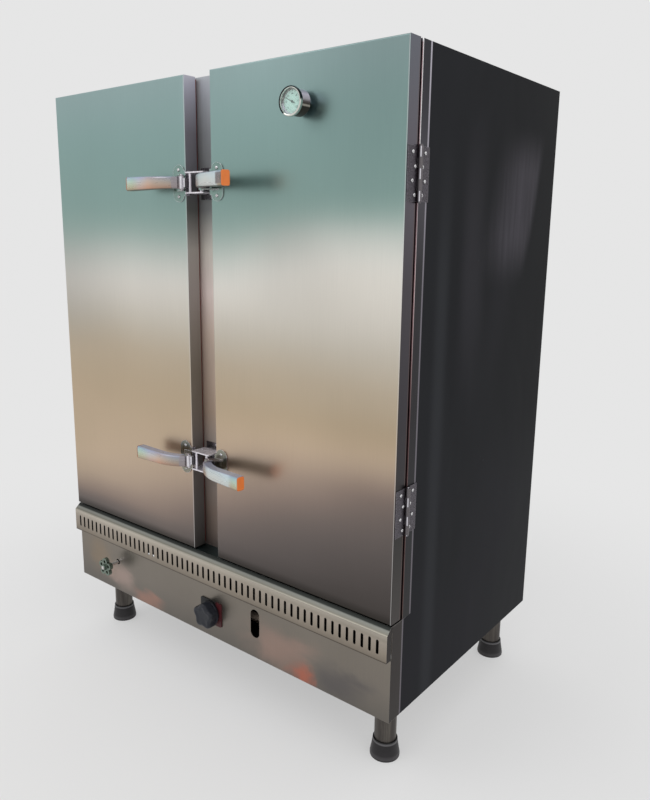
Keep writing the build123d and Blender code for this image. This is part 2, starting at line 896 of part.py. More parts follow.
def base_frame():
    """Angle rails, cross bars under the burners, tank posts, and four legs with their plates."""
    flat = (frame_low, frame_low + rail_thickness)
    high = (frame_low, frame_low + rail_leg)
    front = panel_front + outer_sheet
    rear = back_outside - 2 * outer_sheet
    deep = (front, rear)
    side_rail = block((side_inside - rail_leg, side_inside), deep, flat)
    side_rail += block((side_inside - rail_thickness, side_inside), deep, high)
    reach = side_inside - rail_leg
    front_rail = block((-reach, reach), (front, front + cross_rail_width), flat)
    front_rail += block(
        (-reach, reach),
        (front, front + rail_thickness),
        (frame_low, frame_low + rail_leg / 2),
    )
    back_rail = block((-reach, reach), (rear - cross_rail_width, rear), flat)
    back_rail += block((-reach, reach), (rear - rail_thickness, rear), high)
    bars = []
    for y in cross_bar_places():
        across = (rail_thickness - side_inside, side_inside - rail_thickness)
        top = frame_low + rail_leg
        bars.append(block(across, (y, y + cross_bar_width), (top - cross_bar_height, top)))
    legs = [piece for x, y in leg_places for piece in leg(x, y)]
    return group(both_sides(side_rail) + [front_rail, back_rail] + bars + legs + tank_posts())


def cross_bar_places():
    """Front faces of the two bars that carry the burners."""
    return [frame_back + 70.0, liner_back - 110.0]


def leg(x, y):
    """Plate, tube and the insert that takes the levelling foot's stud."""
    low = frame_low + rail_thickness
    outward = 1 if x > 0 else -1
    edge = outward * (side_inside - rail_thickness)
    across = sorted((x - outward * leg_plate / 2, edge))
    y_edge = (y - leg_plate / 2, y + leg_plate / 2)
    plate = block(across, y_edge, (low, low + leg_plate_thickness))
    inner = leg_tube_radius - leg_tube_wall
    tube = rod_z(x, y, (leg_tube_bottom, low), leg_tube_radius)
    tube -= rod_z(x, y, (leg_tube_bottom - 1, low + 1), inner)
    insert = rod_z(x, y, (leg_tube_bottom, leg_tube_bottom + insert_thickness), inner)
    insert -= rod_z(x, y, (leg_tube_bottom - 1, low), stud_radius + running_clearance)
    return [plate, tube, insert]


def tank_posts():
    """Angles that stand on the leg plates and carry the tank's rim."""
    low = frame_low + rail_thickness + leg_plate_thickness
    posts = []
    for _, y in leg_places[:2]:
        x = (chamber_outer + 14.0, side_inside - rail_thickness)
        near = y - 15.0
        post = block(x, (near, near + 2), (low, tank_rim_top - 2))
        post += block((x[1] - 2, x[1]), (near, near + 30), (low, tank_rim_top - 2))
        posts += both_sides(post)
    return posts


def levelling_foot(x, y):
    """Flared cup round the end of the leg, with its threaded stud."""
    inner = leg_tube_radius + foot_bore_clearance
    rim = foot_base_radius - 4.0
    outline = [
        Line((0, 0), (rim, 0)),
        ThreePointArc((rim, 0), (foot_base_radius - 1, 1.5), (foot_base_radius, 5)),
        Line((foot_base_radius, 5), (foot_base_radius, 9)),
        ThreePointArc((foot_base_radius, 9), (foot_top_radius + 1.5, 25), (foot_top_radius, foot_height)),
        Line((foot_top_radius, foot_height), (inner, foot_height)),
        Line((inner, foot_height), (inner, foot_floor)),
        Line((inner, foot_floor), (0, foot_floor)),
        Line((0, foot_floor), (0, 0)),
    ]
    profile = Plane.XZ * make_face(Curve() + outline)
    cup = revolve(profile, Axis.Z) - rod_z(0, 0, (stud_root, foot_height), stud_radius)
    stud = rod_z(0, 0, (stud_root, stud_top), stud_radius)
    return Pos(x, y, 0) * group([cup, stud])


# Back outlets


def flue_collar():
    """Round collar on a square flange that leads the burner gases out."""
    flange = block(
        (-flue_flange / 2, flue_flange / 2),
        (back_outside, back_outside + flue_wall),
        (flue_height - flue_flange / 2, flue_height + flue_flange / 2),
    )
    tube = rod_y(0, (back_outside - 20, stub_end), flue_height, flue_radius)
    collar = flange + tube
    return collar - rod_y(0, (back_outside - 21, stub_end + 1), flue_height, flue_radius - flue_wall)


# Doors, drawn on the right


def door_skin():
    """Front pan: one sheet folded back on four sides with rounded front folds."""
    x = (door_inner, half_width)
    z = (door_bottom, cabinet_top)
    pan = block(x, (door_front, door_back), z)
    pan = fillet(pan.faces().sort_by(Axis.Y)[0].edges(), door_fold_radius)
    hollow = block(
        (x[0] + outer_sheet, x[1] - outer_sheet),
        (door_front + outer_sheet, door_back + 1),
        (z[0] + outer_sheet, z[1] - outer_sheet),
    )
    hollow = fillet(hollow.faces().sort_by(Axis.Y)[0].edges(), door_fold_radius - outer_sheet)
    pan -= hollow
    for level in hinge_levels:
        for y, screw_z in leaf_screws(level, -1):
            pan -= rod_x((half_width - 3, half_width + 1), y, screw_z, screw_hole_radius)
    for level in latch_levels:
        for screw_z in latch_screw_levels(level):
            pan -= rod_y(latch_x(), (door_front - 1, door_front + 3), screw_z, screw_hole_radius)
    return pan


def door_liner():
    """Inner sheet of the door, flush with the folded sides."""
    return block(
        (door_inner + outer_sheet, half_width - outer_sheet),
        (door_back - liner_sheet, door_back),
        (door_bottom + outer_sheet, cabinet_top - outer_sheet),
    )


def door_core():
    """Insulation in the door, with pockets for the latch screws."""
    core = block(
        (door_inner + core_side_gap, half_width - core_side_gap),
        (door_front + outer_sheet, door_back - liner_sheet),
        (door_bottom + core_side_gap, cabinet_top - core_side_gap),
    )
    for level in latch_levels:
        for z in latch_screw_levels(level):
            core -= rod_y(latch_x(), (door_front, door_front + screw_length + 3), z, 3.5)
    return core


def door_gasket():
    """Rubber ring with rounded front edges, just inside the door's edge."""
    x = (door_inner + gasket_inset, half_width - gasket_inset)
    z = (door_bottom + gasket_inset, cabinet_top - gasket_inset)
    y = (door_back, frame_front - gasket_gap)
    ring = block(x, y, z)
    ring -= block(
        (x[0] + gasket_width, x[1] - gasket_width),
        (y[0] - 1, y[1] + 1),
        (z[0] + gasket_width, z[1] - gasket_width),
    )
    return fillet(ring.faces().sort_by(Axis.Y)[-1].outer_wire().edges(), 2.5)


def leaf_screws(level, side):
    """Places of a leaf's screws in Y and Z, in two columns; side is -1 on the door, 1 on the frame."""
    places = []
    for i in range(4):
        away = 22.0 if i % 2 == 0 else 13.0
        offset = (1.5 - i) * hinge_screw_pitch
        places.append((hinge_y + side * away, level + offset))
    return places


def hinge_leaf(level, side):
    """One leaf with its own knuckles."""
    low = level - hinge_height / 2
    step = hinge_height / knuckle_count
    flat = (half_width, half_width + leaf_thickness)
    edge = hinge_y + side * leaf_width
    start = hinge_y + side * (barrel_radius + 0.5)
    leaf = block(flat, sorted((edge, start)), (low, low + hinge_height))
    own = 0 if side > 0 else 1
    for i in range(own, knuckle_count, 2):
        gap = knuckle_gap / 2
        span = (low + i * step + gap, low + (i + 1) * step - gap)
        leaf += block(flat, sorted((start, hinge_y)), span)
        leaf += rod_z(hinge_x, hinge_y, span, barrel_radius)
    for y, z in leaf_screws(level, side):
        leaf -= rod_x((half_width - 1, half_width + 4), y, z, screw_hole_radius)
    bore = hinge_pin_radius + running_clearance
    return leaf - rod_z(hinge_x, hinge_y, (low - 1, low + hinge_height + 1), bore)


def hinge_pin(level):
    """Pin with a head at each end, resting on the frame leaf's outer knuckles."""
    low = level - hinge_height / 2
    high = level + hinge_height / 2
    pin = rod_z(hinge_x, hinge_y, (low, high), hinge_pin_radius)
    for z in ((low - hinge_head, low), (high, high + hinge_head)):
        pin += rod_z(hinge_x, hinge_y, z, barrel_radius - 0.8)
    return pin


def frame_hinges():
    """The frame's leaves and the pins, on both sides."""
    pieces = []
    for level in hinge_levels:
        pieces += both_sides(hinge_leaf(level, 1))
        pieces += both_sides(hinge_pin(level))
    return group(pieces)


def side_screw(y, z):
    """Pan-head screw through a hinge leaf, its head on the leaf."""
    face = half_width + leaf_thickness
    head = rod_x((face, face + screw_head_height), y, z, screw_head_radius)
    head = fillet(head.faces().sort_by(Axis.X)[-1].edges(), 0.9)
    return head + rod_x((face - screw_length, face), y, z, screw_radius)


def front_screw(x, face, z):
    """Pan-head screw driven from the front, its head on a plate's face."""
    head = rod_y(x, (face - screw_head_height, face), z, screw_head_radius)
    head = fillet(head.faces().sort_by(Axis.Y)[0].edges(), 0.9)
    return head + rod_y(x, (face, face + screw_length), z, screw_radius)


# Latches, drawn on the right door


def latch_x():
    return door_inner + latch_plate_inset + latch_plate_width / 2


def latch_screw_levels(level):
    return [level - latch_screw_offset, level + latch_screw_offset]


def latch_base(level):
    """Rounded plate with a lip round the door's edge and two cheeks for the lever's rivet."""
    plate_y = (door_front - latch_plate_thickness, door_front)
    outline = SlotOverall(latch_plate_height, latch_plate_width, rotation=90)
    base = along_y(Pos(latch_x(), level) * outline, plate_y)
    lip_z = (level - latch_lip_height / 2, level + latch_lip_height / 2)
    lip_x = (door_inner - 2.0, door_inner)
    base += block((lip_x[0], latch_x()), plate_y, lip_z)
    base += block(lip_x, (plate_y[0], plate_y[0] + latch_lip_depth), lip_z)
    cheek = cheek_face()
    for z in cheek_levels(level):
        base += along_z(cheek, (z, z + cheek_thickness))
    for z in latch_screw_levels(level):
        base -= rod_y(latch_x(), (plate_y[0] - 1, plate_y[1] + 1), z, screw_hole_radius)
    bore = rivet_radius + running_clearance
    return base - rod_z(latch_pivot_inset, pivot_y, (level - 30, level + 30), bore)


def latch_rivet(level):
    """Rivet through both cheeks, on which the lever turns."""
    reach = cheek_levels(level)[1] + cheek_thickness - level
    rivet = rod_z(latch_pivot_inset, pivot_y, (level - reach, level + reach), rivet_radius)
    for z in (level - reach - rivet_head_height, level + reach):
        rivet += rod_z(latch_pivot_inset, pivot_y, (z, z + rivet_head_height), rivet_head_radius)
    return rivet


def cheek_levels(level):
    inner = lever_boss_height / 2 + cheek_clearance
    return (level - inner - cheek_thickness, level + inner)


def cheek_face():
    """Plan of a cheek: from the plate on the door out to a round end about the rivet."""
    foot = door_front - latch_plate_thickness
    outline = Polyline(
        (latch_pivot_inset + 10, foot),
        (latch_x() + 6, foot),
        (latch_pivot_inset + 5, pivot_y - 6.2),
        (latch_pivot_inset - 6.2, pivot_y + 5),
        close=True,
    )
    return make_face(outline) + Pos(latch_pivot_inset, pivot_y) * Circle(8.0)


def lever_plan(front_offset, back_offset, start_angle, end_x):
    """Plan of the lever: a bend that starts at the pivot, then a straight run along the door."""
    radius = lever_bend_run / sin(radians(lever_rise_angle))
    bend_x = latch_pivot_inset + lever_bend_run
    drop = radius * (1 - cos(radians(lever_rise_angle)))
    centre = (bend_x, pivot_y - drop + radius)
    outer = radius + front_offset
    inner = radius - back_offset

    def point(r, angle):
        return (centre[0] - r * sin(radians(angle)), centre[1] - r * cos(radians(angle)))

    half = start_angle / 2
    edges = [
        ThreePointArc(point(outer, start_angle), point(outer, half), point(outer, 0)),
        Line(point(outer, 0), (end_x, centre[1] - outer)),
        Line((end_x, centre[1] - outer), (end_x, centre[1] - inner)),
        Line((end_x, centre[1] - inner), point(inner, 0)),
        ThreePointArc(point(inner, 0), point(inner, half), point(inner, start_angle)),
        Line(point(inner, start_angle), point(outer, start_angle)),
    ]
    return make_face(Curve() + edges)


def lever_front():
    """How far forward the straight part of the lever's middle line lies."""
    radius = lever_bend_run / sin(radians(lever_rise_angle))
    return pivot_y - radius * (1 - cos(radians(lever_rise_angle)))


def lever_side(inset):
    """The lever seen from the front: it grows taller towards its end."""
    root = lever_root_height / 2 - inset
    tip = lever_tip_height / 2 - inset
    start = latch_pivot_inset - 20.0
    end = latch_pivot_inset + lever_length + 1.0
    return make_face(Polyline((start, -root), (end, -tip), (end, tip), (start, root), close=True))


def lever_end():
    return latch_pivot_inset + lever_length


def lever_half_depth():
    return door_front - lever_reach + 2.0


def latch_lever(level):
    """Curved channel, open towards the door, with its boss and the nose that meets the keeper."""
    front = lever_front() - lever_half_depth()
    tall = (level - lever_tip_height, level + lever_tip_height)
    body = along_z(lever_plan(front, lever_boss_radius, lever_rise_angle, lever_end()), tall)
    body &= along_y(Pos(0, level) * lever_side(0), (door_front - 100, door_front))
    hollow_angle = lever_rise_angle - 12.0
    hollow = along_z(
        lever_plan(front - lever_wall, lever_boss_radius + 1, hollow_angle, lever_end() + 1),
        tall,
    )
    hollow &= along_y(Pos(0, level) * lever_side(lever_wall), (door_front - 100, door_front))
    boss_z = (level - lever_boss_height / 2, level + lever_boss_height / 2)
    boss = rod_z(latch_pivot_inset, pivot_y, boss_z, lever_boss_radius)
    lever = body - hollow + boss + lever_nose(level)
    return lever - rod_z(
        latch_pivot_inset,
        pivot_y,
        (level - 30, level + 30),
        rivet_radius + running_clearance,
    )


def lever_nose(level):
    """Short rounded arm from the boss towards the gap between the doors."""
    reach = nose_length - nose_radius
    tip = (latch_pivot_inset - reach * cos(radians(45)), pivot_y + reach * sin(radians(45)))
    root = (latch_pivot_inset, pivot_y)
    plan = SlotCenterToCenter(reach, 2 * nose_radius, rotation=135)
    middle = ((tip[0] + root[0]) / 2, (tip[1] + root[1]) / 2)
    return along_z(Pos(*middle) * plan, (level - nose_height / 2, level + nose_height / 2))


def lever_plug(level):
    """Plug pushed into the lever's open end, with a flange that covers the channel."""
    end = lever_end()
    front = door_front - lever_reach
    back = lever_front() + lever_boss_radius + plug_overlap
    half = lever_tip_height / 2 + plug_overlap
    flange = block((end, end + plug_flange), (front, back), (level - half, level + half))
    flange = fillet(flange.faces().sort_by(Axis.X)[-1].edges(), plug_edge_radius)
    inner = lever_tip_height / 2 - lever_wall - 1.0
    insert = block(
        (end - plug_insert, end),
        (lever_half_depth() + lever_wall, back - plug_overlap - 1),
        (level - inner, level + inner),
    )
    return flange + insert


def stood_open(shape, degrees):
    """The shape turned about its lever's pivot, as on a latch that is not quite closed."""
    pivot = Axis((latch_pivot_inset, pivot_y, 0), (0, 0, 1))
    return shape.rotate(pivot, -degrees)


# Keepers


def keeper_screw_levels(level):
    return [level - keeper_screw_offset, level + keeper_screw_offset]


def keeper(level):
    """Bracket on the mullion with two arms and a pin for each latch."""
    plate = block(
        (-keeper_width / 2, keeper_width / 2),
        (frame_front - keeper_sheet, frame_front),
        (level - keeper_height / 2, level + keeper_height / 2),
    )
    front = door_front - keeper_reach
    arm_x = (-keeper_arm_width / 2, keeper_arm_width / 2)
    half = keeper_arm_gap / 2
    for z in ((level - half - keeper_sheet, level - half), (level + half, level + half + keeper_sheet)):
        plate += block(arm_x, (front, frame_front - keeper_sheet), z)
    pins = []
    for x in (-keeper_pin_offset, keeper_pin_offset):
        pin_y = door_front - keeper_pin_reach
        through = (level - half - keeper_sheet, level + half + keeper_sheet)
        plate -= rod_z(x, pin_y, through, keeper_pin_radius)
        pins.append(rod_z(x, pin_y, through, keeper_pin_radius))
    for z in keeper_screw_levels(level):
        plate -= rod_y(0, (frame_front - keeper_sheet - 1, frame_front + 1), z, screw_hole_radius)
    return [plate] + pins


# Thermometer


def gauge_case():
    """Round case with a hexagon behind it and the stem through the door."""
    front = gauge_front + 3.0
    back = front + gauge_case_depth
    case = rod_y(gauge_x, (front, back), gauge_level, gauge_case_radius)
    case = fillet(case.faces().sort_by(Axis.Y)[-1].edges(), 3.0)
    case -= rod_y(gauge_x, (front - 1, front + 7), gauge_level, gauge_case_radius - gauge_case_wall)
    hexagon = along_y(
        Pos(gauge_x, gauge_level) * RegularPolygon(gauge_nut_width / 2, 6, major_radius=False),
        (back, door_front),
    )
    stem_end = door_back + gauge_stem_depth
    stem = rod_y(gauge_x, (door_front, stem_end), gauge_level, gauge_stem_radius)
    case = case + hexagon + stem
    return case - rod_y(gauge_x, (front, front + 20), gauge_level, 0.85)


def gauge_bezel():
    """Polished ring that holds the glass on the case."""
    ring = rod_y(gauge_x, (gauge_front, gauge_front + 7), gauge_level, gauge_bezel_radius)
    ring = fillet(ring.faces().sort_by(Axis.Y)[0].edges(), 2.0)
    ring -= rod_y(gauge_x, (gauge_front - 1, gauge_front + 8), gauge_level, gauge_window_radius)
    seat = gauge_case_radius + gauge_fit
    return ring - rod_y(gauge_x, (gauge_front + 1.5, gauge_front + 8), gauge_level, seat)


def gauge_glass():
    return rod_y(gauge_x, (gauge_front + 1.5, gauge_front + 3), gauge_level, gauge_case_radius - gauge_fit)


def gauge_dial():
    radius = gauge_case_radius - gauge_case_wall - gauge_fit
    disc = rod_y(gauge_x, (gauge_front + 9.2, gauge_front + 10), gauge_level, radius)
    return disc - rod_y(gauge_x, (gauge_front + 9, gauge_front + 11), gauge_level, 1.0)


def gauge_pointer():
    """Tapered hand on a small hub with the shaft that turns it."""
    y = (gauge_front + 7.4, gauge_front + 8.0)
    angle = radians(gauge_pointer_angle)
    along = (cos(angle), sin(angle))
    across = (-sin(angle), cos(angle))
    tip = gauge_pointer_length
    tail = 7.0

    def spot(forward, side):
        return (forward * along[0] + side * across[0], forward * along[1] + side * across[1])

    corners = [spot(-tail, 1.1), spot(-tail, -1.1), spot(tip, -0.3), spot(tip, 0.3)]
    hand = make_face(Polyline(*corners, close=True))
    pointer = along_y(Pos(gauge_x, gauge_level) * hand, y)
    pointer += rod_y(gauge_x, (gauge_front + 6.8, gauge_front + 8.6), gauge_level, 2.4)
    return pointer + rod_y(gauge_x, (gauge_front + 8, gauge_front + 20), gauge_level, 0.8)


# Each piece or group of like pieces goes to its own file


def door_pieces(side):
    """All the pieces of one door; side is 'left' or 'right'."""
    place = mirrored if side == "left" else unchanged
    skin = door_skin()
    liner = door_liner()
    core = door_core()
    if side == "right":
        hole = rod_y(gauge_x, (door_front - 1, door_back + 1), gauge_level, gauge_stem_radius + 0.2)
        skin -= hole
        liner -= hole
        core -= hole
    leaves = group([hinge_leaf(level, -1) for level in hinge_levels])
    bases = group([piece(level) for level in latch_levels for piece in (latch_base, latch_rivet)])
    screws = [side_screw(y, z) for level in hinge_levels for y, z in leaf_screws(level, -1)]
    face = door_front - latch_plate_thickness
    for level in latch_levels:
        screws += [front_screw(latch_x(), face, z) for z in latch_screw_levels(level)]
    return {
        f"{side}_door_skin": place(skin),
        f"{side}_door_liner": place(liner),
        f"{side}_door_insulation": place(core),
        f"{side}_door_gasket": place(door_gasket()),
        f"{side}_door_hinge_leaves": place(leaves),
        f"{side}_door_latch_bases": place(bases),
        f"{side}_door_screws": place(group(screws)),
    }


def frame_screws():
    """Screws of the hinge leaves on the stiles and of the keepers on the mullion."""
    screws = []
    for level in hinge_levels:
        for y, z in leaf_screws(level, 1):
            screws += both_sides(side_screw(y, z))
    for level in latch_levels:
        for z in keeper_screw_levels(level):
            screws.append(front_screw(0, frame_front - keeper_sheet, z))
    return group(screws)


def all_pieces():
    right_panel = side_panel()
    pieces = {
        "right_side_panel": right_panel,
        "left_side_panel": mirrored(right_panel),
        "top_panel": top_panel(),
        "back_panel": back_panel(),
        "door_frame": door_frame(),
        "chamber_liners": chamber_liners(),
        "wall_insulation": wall_insulation(),
        "tray_racks": tray_racks(),
        "water_tank": water_tank(),
        "steam_plates": steam_plates(),
        "float_valve": float_valve(),
        "float_arm": float_arm(),
        "drain_valve": drain_valve(),
        "drain_stem": drain_stem(),
        "drain_handwheel": handwheel(),
        "burners": burners(),
        "burner_shield": burner_shield(),
        "gas_manifold": gas_manifold(),
        "gas_cock": gas_cock(),
        "gas_supply_pipe": supply_pipe(),
        "gas_knob": gas_knob(),
        "knob_escutcheon": escutcheon(),
        "vent_strip": vent_strip(),
        "lower_front_panel": lower_panel(),
        "base_frame": base_frame(),
        "flue_collar": flue_collar(),
        "latch_keepers": group([piece for level in latch_levels for piece in keeper(level)]),
        "frame_hinge_leaves": frame_hinges(),
        "frame_screws": frame_screws(),
        "thermometer_case": gauge_case(),
        "thermometer_bezel": gauge_bezel(),
        "thermometer_glass": gauge_glass(),
        "thermometer_dial": gauge_dial(),
        "thermometer_pointer": gauge_pointer(),
    }
    pieces.update(door_pieces("left"))
    pieces.update(door_pieces("right"))
    open_angles = (lower_lever_open, upper_lever_open)
    for height, level, angle in zip(("lower", "upper"), latch_levels, open_angles):
        lever = latch_lever(level)
        plug = lever_plug(level)
        pieces[f"{height}_left_lever"] = mirrored(lever)
        pieces[f"{height}_left_lever_plug"] = mirrored(plug)
        pieces[f"{height}_right_lever"] = stood_open(lever, angle)
        pieces[f"{height}_right_lever_plug"] = stood_open(plug, angle)
    names = ("left_front_foot", "left_back_foot", "right_front_foot", "right_back_foot")
    for name, (x, y) in zip(names, leg_places):
        pieces[name] = levelling_foot(x, y)
    return pieces


os.makedirs("parts", exist_ok=True)
for name, shape in all_pieces().items():
    export_step(shape, f"parts/{name}.step")
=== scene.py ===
"""Looks of the rice steamer cabinet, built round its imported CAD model. Metres, row frame."""

import json
from math import cos, pi, radians, sin, sqrt, tau

import bmesh
import bpy
from mathutils import Matrix, Vector


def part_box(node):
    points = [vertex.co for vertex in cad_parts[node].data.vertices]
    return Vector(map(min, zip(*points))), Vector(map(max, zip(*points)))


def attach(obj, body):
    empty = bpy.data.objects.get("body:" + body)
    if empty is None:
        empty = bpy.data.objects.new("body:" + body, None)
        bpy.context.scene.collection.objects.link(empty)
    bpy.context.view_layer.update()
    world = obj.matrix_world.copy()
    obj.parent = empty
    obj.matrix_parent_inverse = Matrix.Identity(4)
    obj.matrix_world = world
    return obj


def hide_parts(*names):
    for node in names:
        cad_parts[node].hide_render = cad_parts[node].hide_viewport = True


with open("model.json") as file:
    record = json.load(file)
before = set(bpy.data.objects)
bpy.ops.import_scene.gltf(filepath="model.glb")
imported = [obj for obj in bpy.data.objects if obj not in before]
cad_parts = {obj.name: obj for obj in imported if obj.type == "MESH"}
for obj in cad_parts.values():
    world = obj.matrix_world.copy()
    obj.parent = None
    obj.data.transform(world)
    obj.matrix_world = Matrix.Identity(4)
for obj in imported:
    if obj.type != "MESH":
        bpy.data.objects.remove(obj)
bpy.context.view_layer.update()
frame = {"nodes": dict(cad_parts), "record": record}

# Camera, found from the photograph
image_width = 650
image_height = 800
focal_pixels = 737.65
optical_centre = (308.65, 382.79)
camera_place = (1.28758, -1.52381, 1.18634)
camera_yaw = 0.6814
camera_pitch = -0.2045
camera_roll = 0.0083

# Sizes that the pieces share with the CAD model
door_bottom = 0.389
door_top = 1.525
screw_head_radius = 0.0040
screw_head_height = 0.0016
screw_shank_radius = 0.0018
gauge_centre = Vector((0.311, -0.382, 1.429))
gauge_rim = 0.0285
gauge_window = 0.0240
dial_plane = -0.3768
dial_start = 225.0
dial_sweep = 270.0
pointer_rest = 153.0
knob_place = (0.011, 0.229)
hinge_x = 0.555
hinge_y = -0.2995
latch_levels = {"lower": 0.629, "upper": 1.289}
lever_rest = {"lower": 5.0, "upper": 15.0}
lever_pivot = Vector((0.036, -0.362, 0.0))
lever_bend_centre = (0.106, -0.2724)
lever_outer = 0.1256
lever_inner = 0.1052
lever_end = 0.185
plug_middle = -0.3870
lever_wall = 0.002
lever_corner = 0.0045
lever_root_half = 0.0130
lever_root_x = 0.016
lever_length = 0.170
lever_widening = 0.0030
lever_hair = 0.00005
foot_places = {
    "left_front_foot": (-0.484, -0.242),
    "left_back_foot": (-0.484, 0.305),
    "right_front_foot": (0.484, -0.242),
    "right_back_foot": (0.484, 0.305),
}

# Light
background_level = 0.79
ambient_level = 0.86
key_power = 40.0
fill_power = 18.0
floor_melt = 0.55
floor_reach = 9.0
floor_drop = 0.0006


def colour(red, green, blue):
    """A linear colour from values of 0 to 255 as a screen shows them."""

    def linear(value):
        v = value / 255
        return v / 12.92 if v <= 0.04045 else ((v + 0.055) / 1.055) ** 2.4

    return (linear(red), linear(green), linear(blue), 1.0)


def steel(red, green, blue):
    """Colour of a metal that looks like this when it mirrors the pale surroundings."""
    lit = colour(red, green, blue)
    return tuple(min(c / background_level, 1.0) for c in lit[:3]) + (1.0,)


def grey(value):
    """A linear grey."""
    return (value, value, value, 1.0)


# Camera and light


def make_camera():
    """The camera that saw the photograph."""
    data = bpy.data.cameras.new("camera")
    data.sensor_fit = "HORIZONTAL"
    data.sensor_width = 36.0
    data.lens = focal_pixels * 36.0 / image_width
    data.shift_x = (image_width / 2 - optical_centre[0]) / image_width
    data.shift_y = (optical_centre[1] - image_height / 2) / image_width
    level = cos(camera_pitch)
    forward = Vector((-sin(camera_yaw) * level, cos(camera_yaw) * level, sin(camera_pitch)))
    side = forward.cross(Vector((0, 0, 1))).normalized()
    up = side.cross(forward)
    c, s = cos(camera_roll), sin(camera_roll)
    right = c * side + s * up
    top = c * up - s * side
    camera = bpy.data.objects.new("camera", data)
    turn = Matrix((right, top, -forward)).transposed()
    camera.matrix_world = Matrix.Translation(camera_place) @ turn.to_4x4()
    bpy.context.scene.collection.objects.link(camera)
    bpy.context.scene.camera = camera


def area_lamp(name, place, target, size, power):
    """A round lamp that looks at a target."""
    data = bpy.data.lights.new(name, "AREA")
    data.shape = "DISK"
    data.size = size
    data.energy = power
    lamp = bpy.data.objects.new(name, data)
    lamp.location = place
    aim = Vector(target) - Vector(place)
    lamp.rotation_euler = aim.to_track_quat("-Z", "Y").to_euler()
    bpy.context.scene.collection.objects.link(lamp)


def make_world():
    """Plain pale surroundings, as bright to the eye as the backdrop and softer as a light."""
    world = bpy.data.worlds.new("surroundings")
    world.use_nodes = True
    bpy.context.scene.world = world
    nodes = Nodes(world.node_tree)
    nodes.tree.nodes.clear()
    seen = nodes.made("ShaderNodeBackground", 0, {"Color": grey(background_level)})
    light = nodes.made("ShaderNodeBackground", 0, {"Color": grey(1.0), "Strength": ambient_level})
    path = nodes.node("ShaderNodeLightPath").outputs
    mirrored = nodes.math("MAXIMUM", path["Is Camera Ray"], path["Is Glossy Ray"])
    mirrored = mirrored.math("MAXIMUM", path["Is Transmission Ray"])
    blend = nodes.made("ShaderNodeMixShader", 0, {0: mirrored, 1: light, 2: seen})
    nodes.node("ShaderNodeOutputWorld", {"Surface": blend})


def make_floor():
    """A pale floor that takes the object's shadow and melts into the backdrop far away."""
    mesh = bpy.data.meshes.new("floor")
    bm = bmesh.new()
    bmesh.ops.create_circle(bm, cap_ends=True, segments=96, radius=floor_reach)
    bm.to_mesh(mesh)
    bm.free()
    floor = bpy.data.objects.new("floor", mesh)
    floor.location = (0, 0, -floor_drop)
    bpy.context.scene.collection.objects.link(floor)
    paint = Paint("pale_floor")
    pale = [(0.3, grey(0.815)), (0.7, grey(0.83))]
    paint.finish(paint.ramp(paint.noise(1.7, 3.0), pale), 0.0, 0.9, gloss=0.1)
    glow = paint.made("ShaderNodeEmission", 0, {"Color": grey(background_level)})
    away = paint.distance(paint.x, paint.y).smooth(0.8, 2.0, floor_melt, 1.0)
    blend = paint.made("ShaderNodeMixShader", 0, {0: away, 1: paint.shader.outputs[0], 2: glow})
    paint.put(paint.output.inputs["Surface"], blend)
    floor.data.materials.append(paint.material)


# Materials: helpers for their nodes, then one function for each material


class Value:
    """The output of a node, ready for sums, products and ranges."""

    def __init__(self, nodes, socket):
        self.nodes = nodes
        self.socket = socket

    def math(self, operation, other=0.0):
        return self.nodes.math(operation, self, other)

    def __add__(self, other):
        return self.math("ADD", other)

    def __sub__(self, other):
        return self.math("SUBTRACT", other)

    def __rsub__(self, other):
        return self.nodes.math("SUBTRACT", other, self)

    def __mul__(self, other):
        return self.math("MULTIPLY", other)

    def __truediv__(self, other):
        return self.math("DIVIDE", other)

    def __abs__(self):
        return self.math("ABSOLUTE")

    def fit(self, low, high, to_low=0.0, to_high=1.0, kind="LINEAR"):
        """The range from low to high moved to another range, and held inside it."""
        inputs = {"Value": self, "From Min": low, "From Max": high, "To Min": to_low, "To Max": to_high}
        return self.nodes.made("ShaderNodeMapRange", "Result", inputs, interpolation_type=kind)

    def between(self, at_zero, at_one):
        """From one number where this is 0 to another where it is 1."""
        return self.fit(0.0, 1.0, at_zero, at_one)

    def smooth(self, low, high, to_low=0.0, to_high=1.0):
        return self.fit(low, high, to_low, to_high, "SMOOTHSTEP")

    def spot(self, middle, reach):
        """1 at a middle value, falling softly to 0 at a reach on either side."""
        return abs(self - middle).fit(0.0, reach, 1.0, 0.0, "SMOOTHERSTEP")

    def ramp(self, kind, *rows):
        """Colours along this value, from rows of position, red, green and blue."""
        return self.nodes.ramp(self, [(position, kind(*shade)) for position, *shade in rows])

    def mix(self, factor, other, kind="MIX"):
        return self.nodes.mix(factor, self, other, kind)


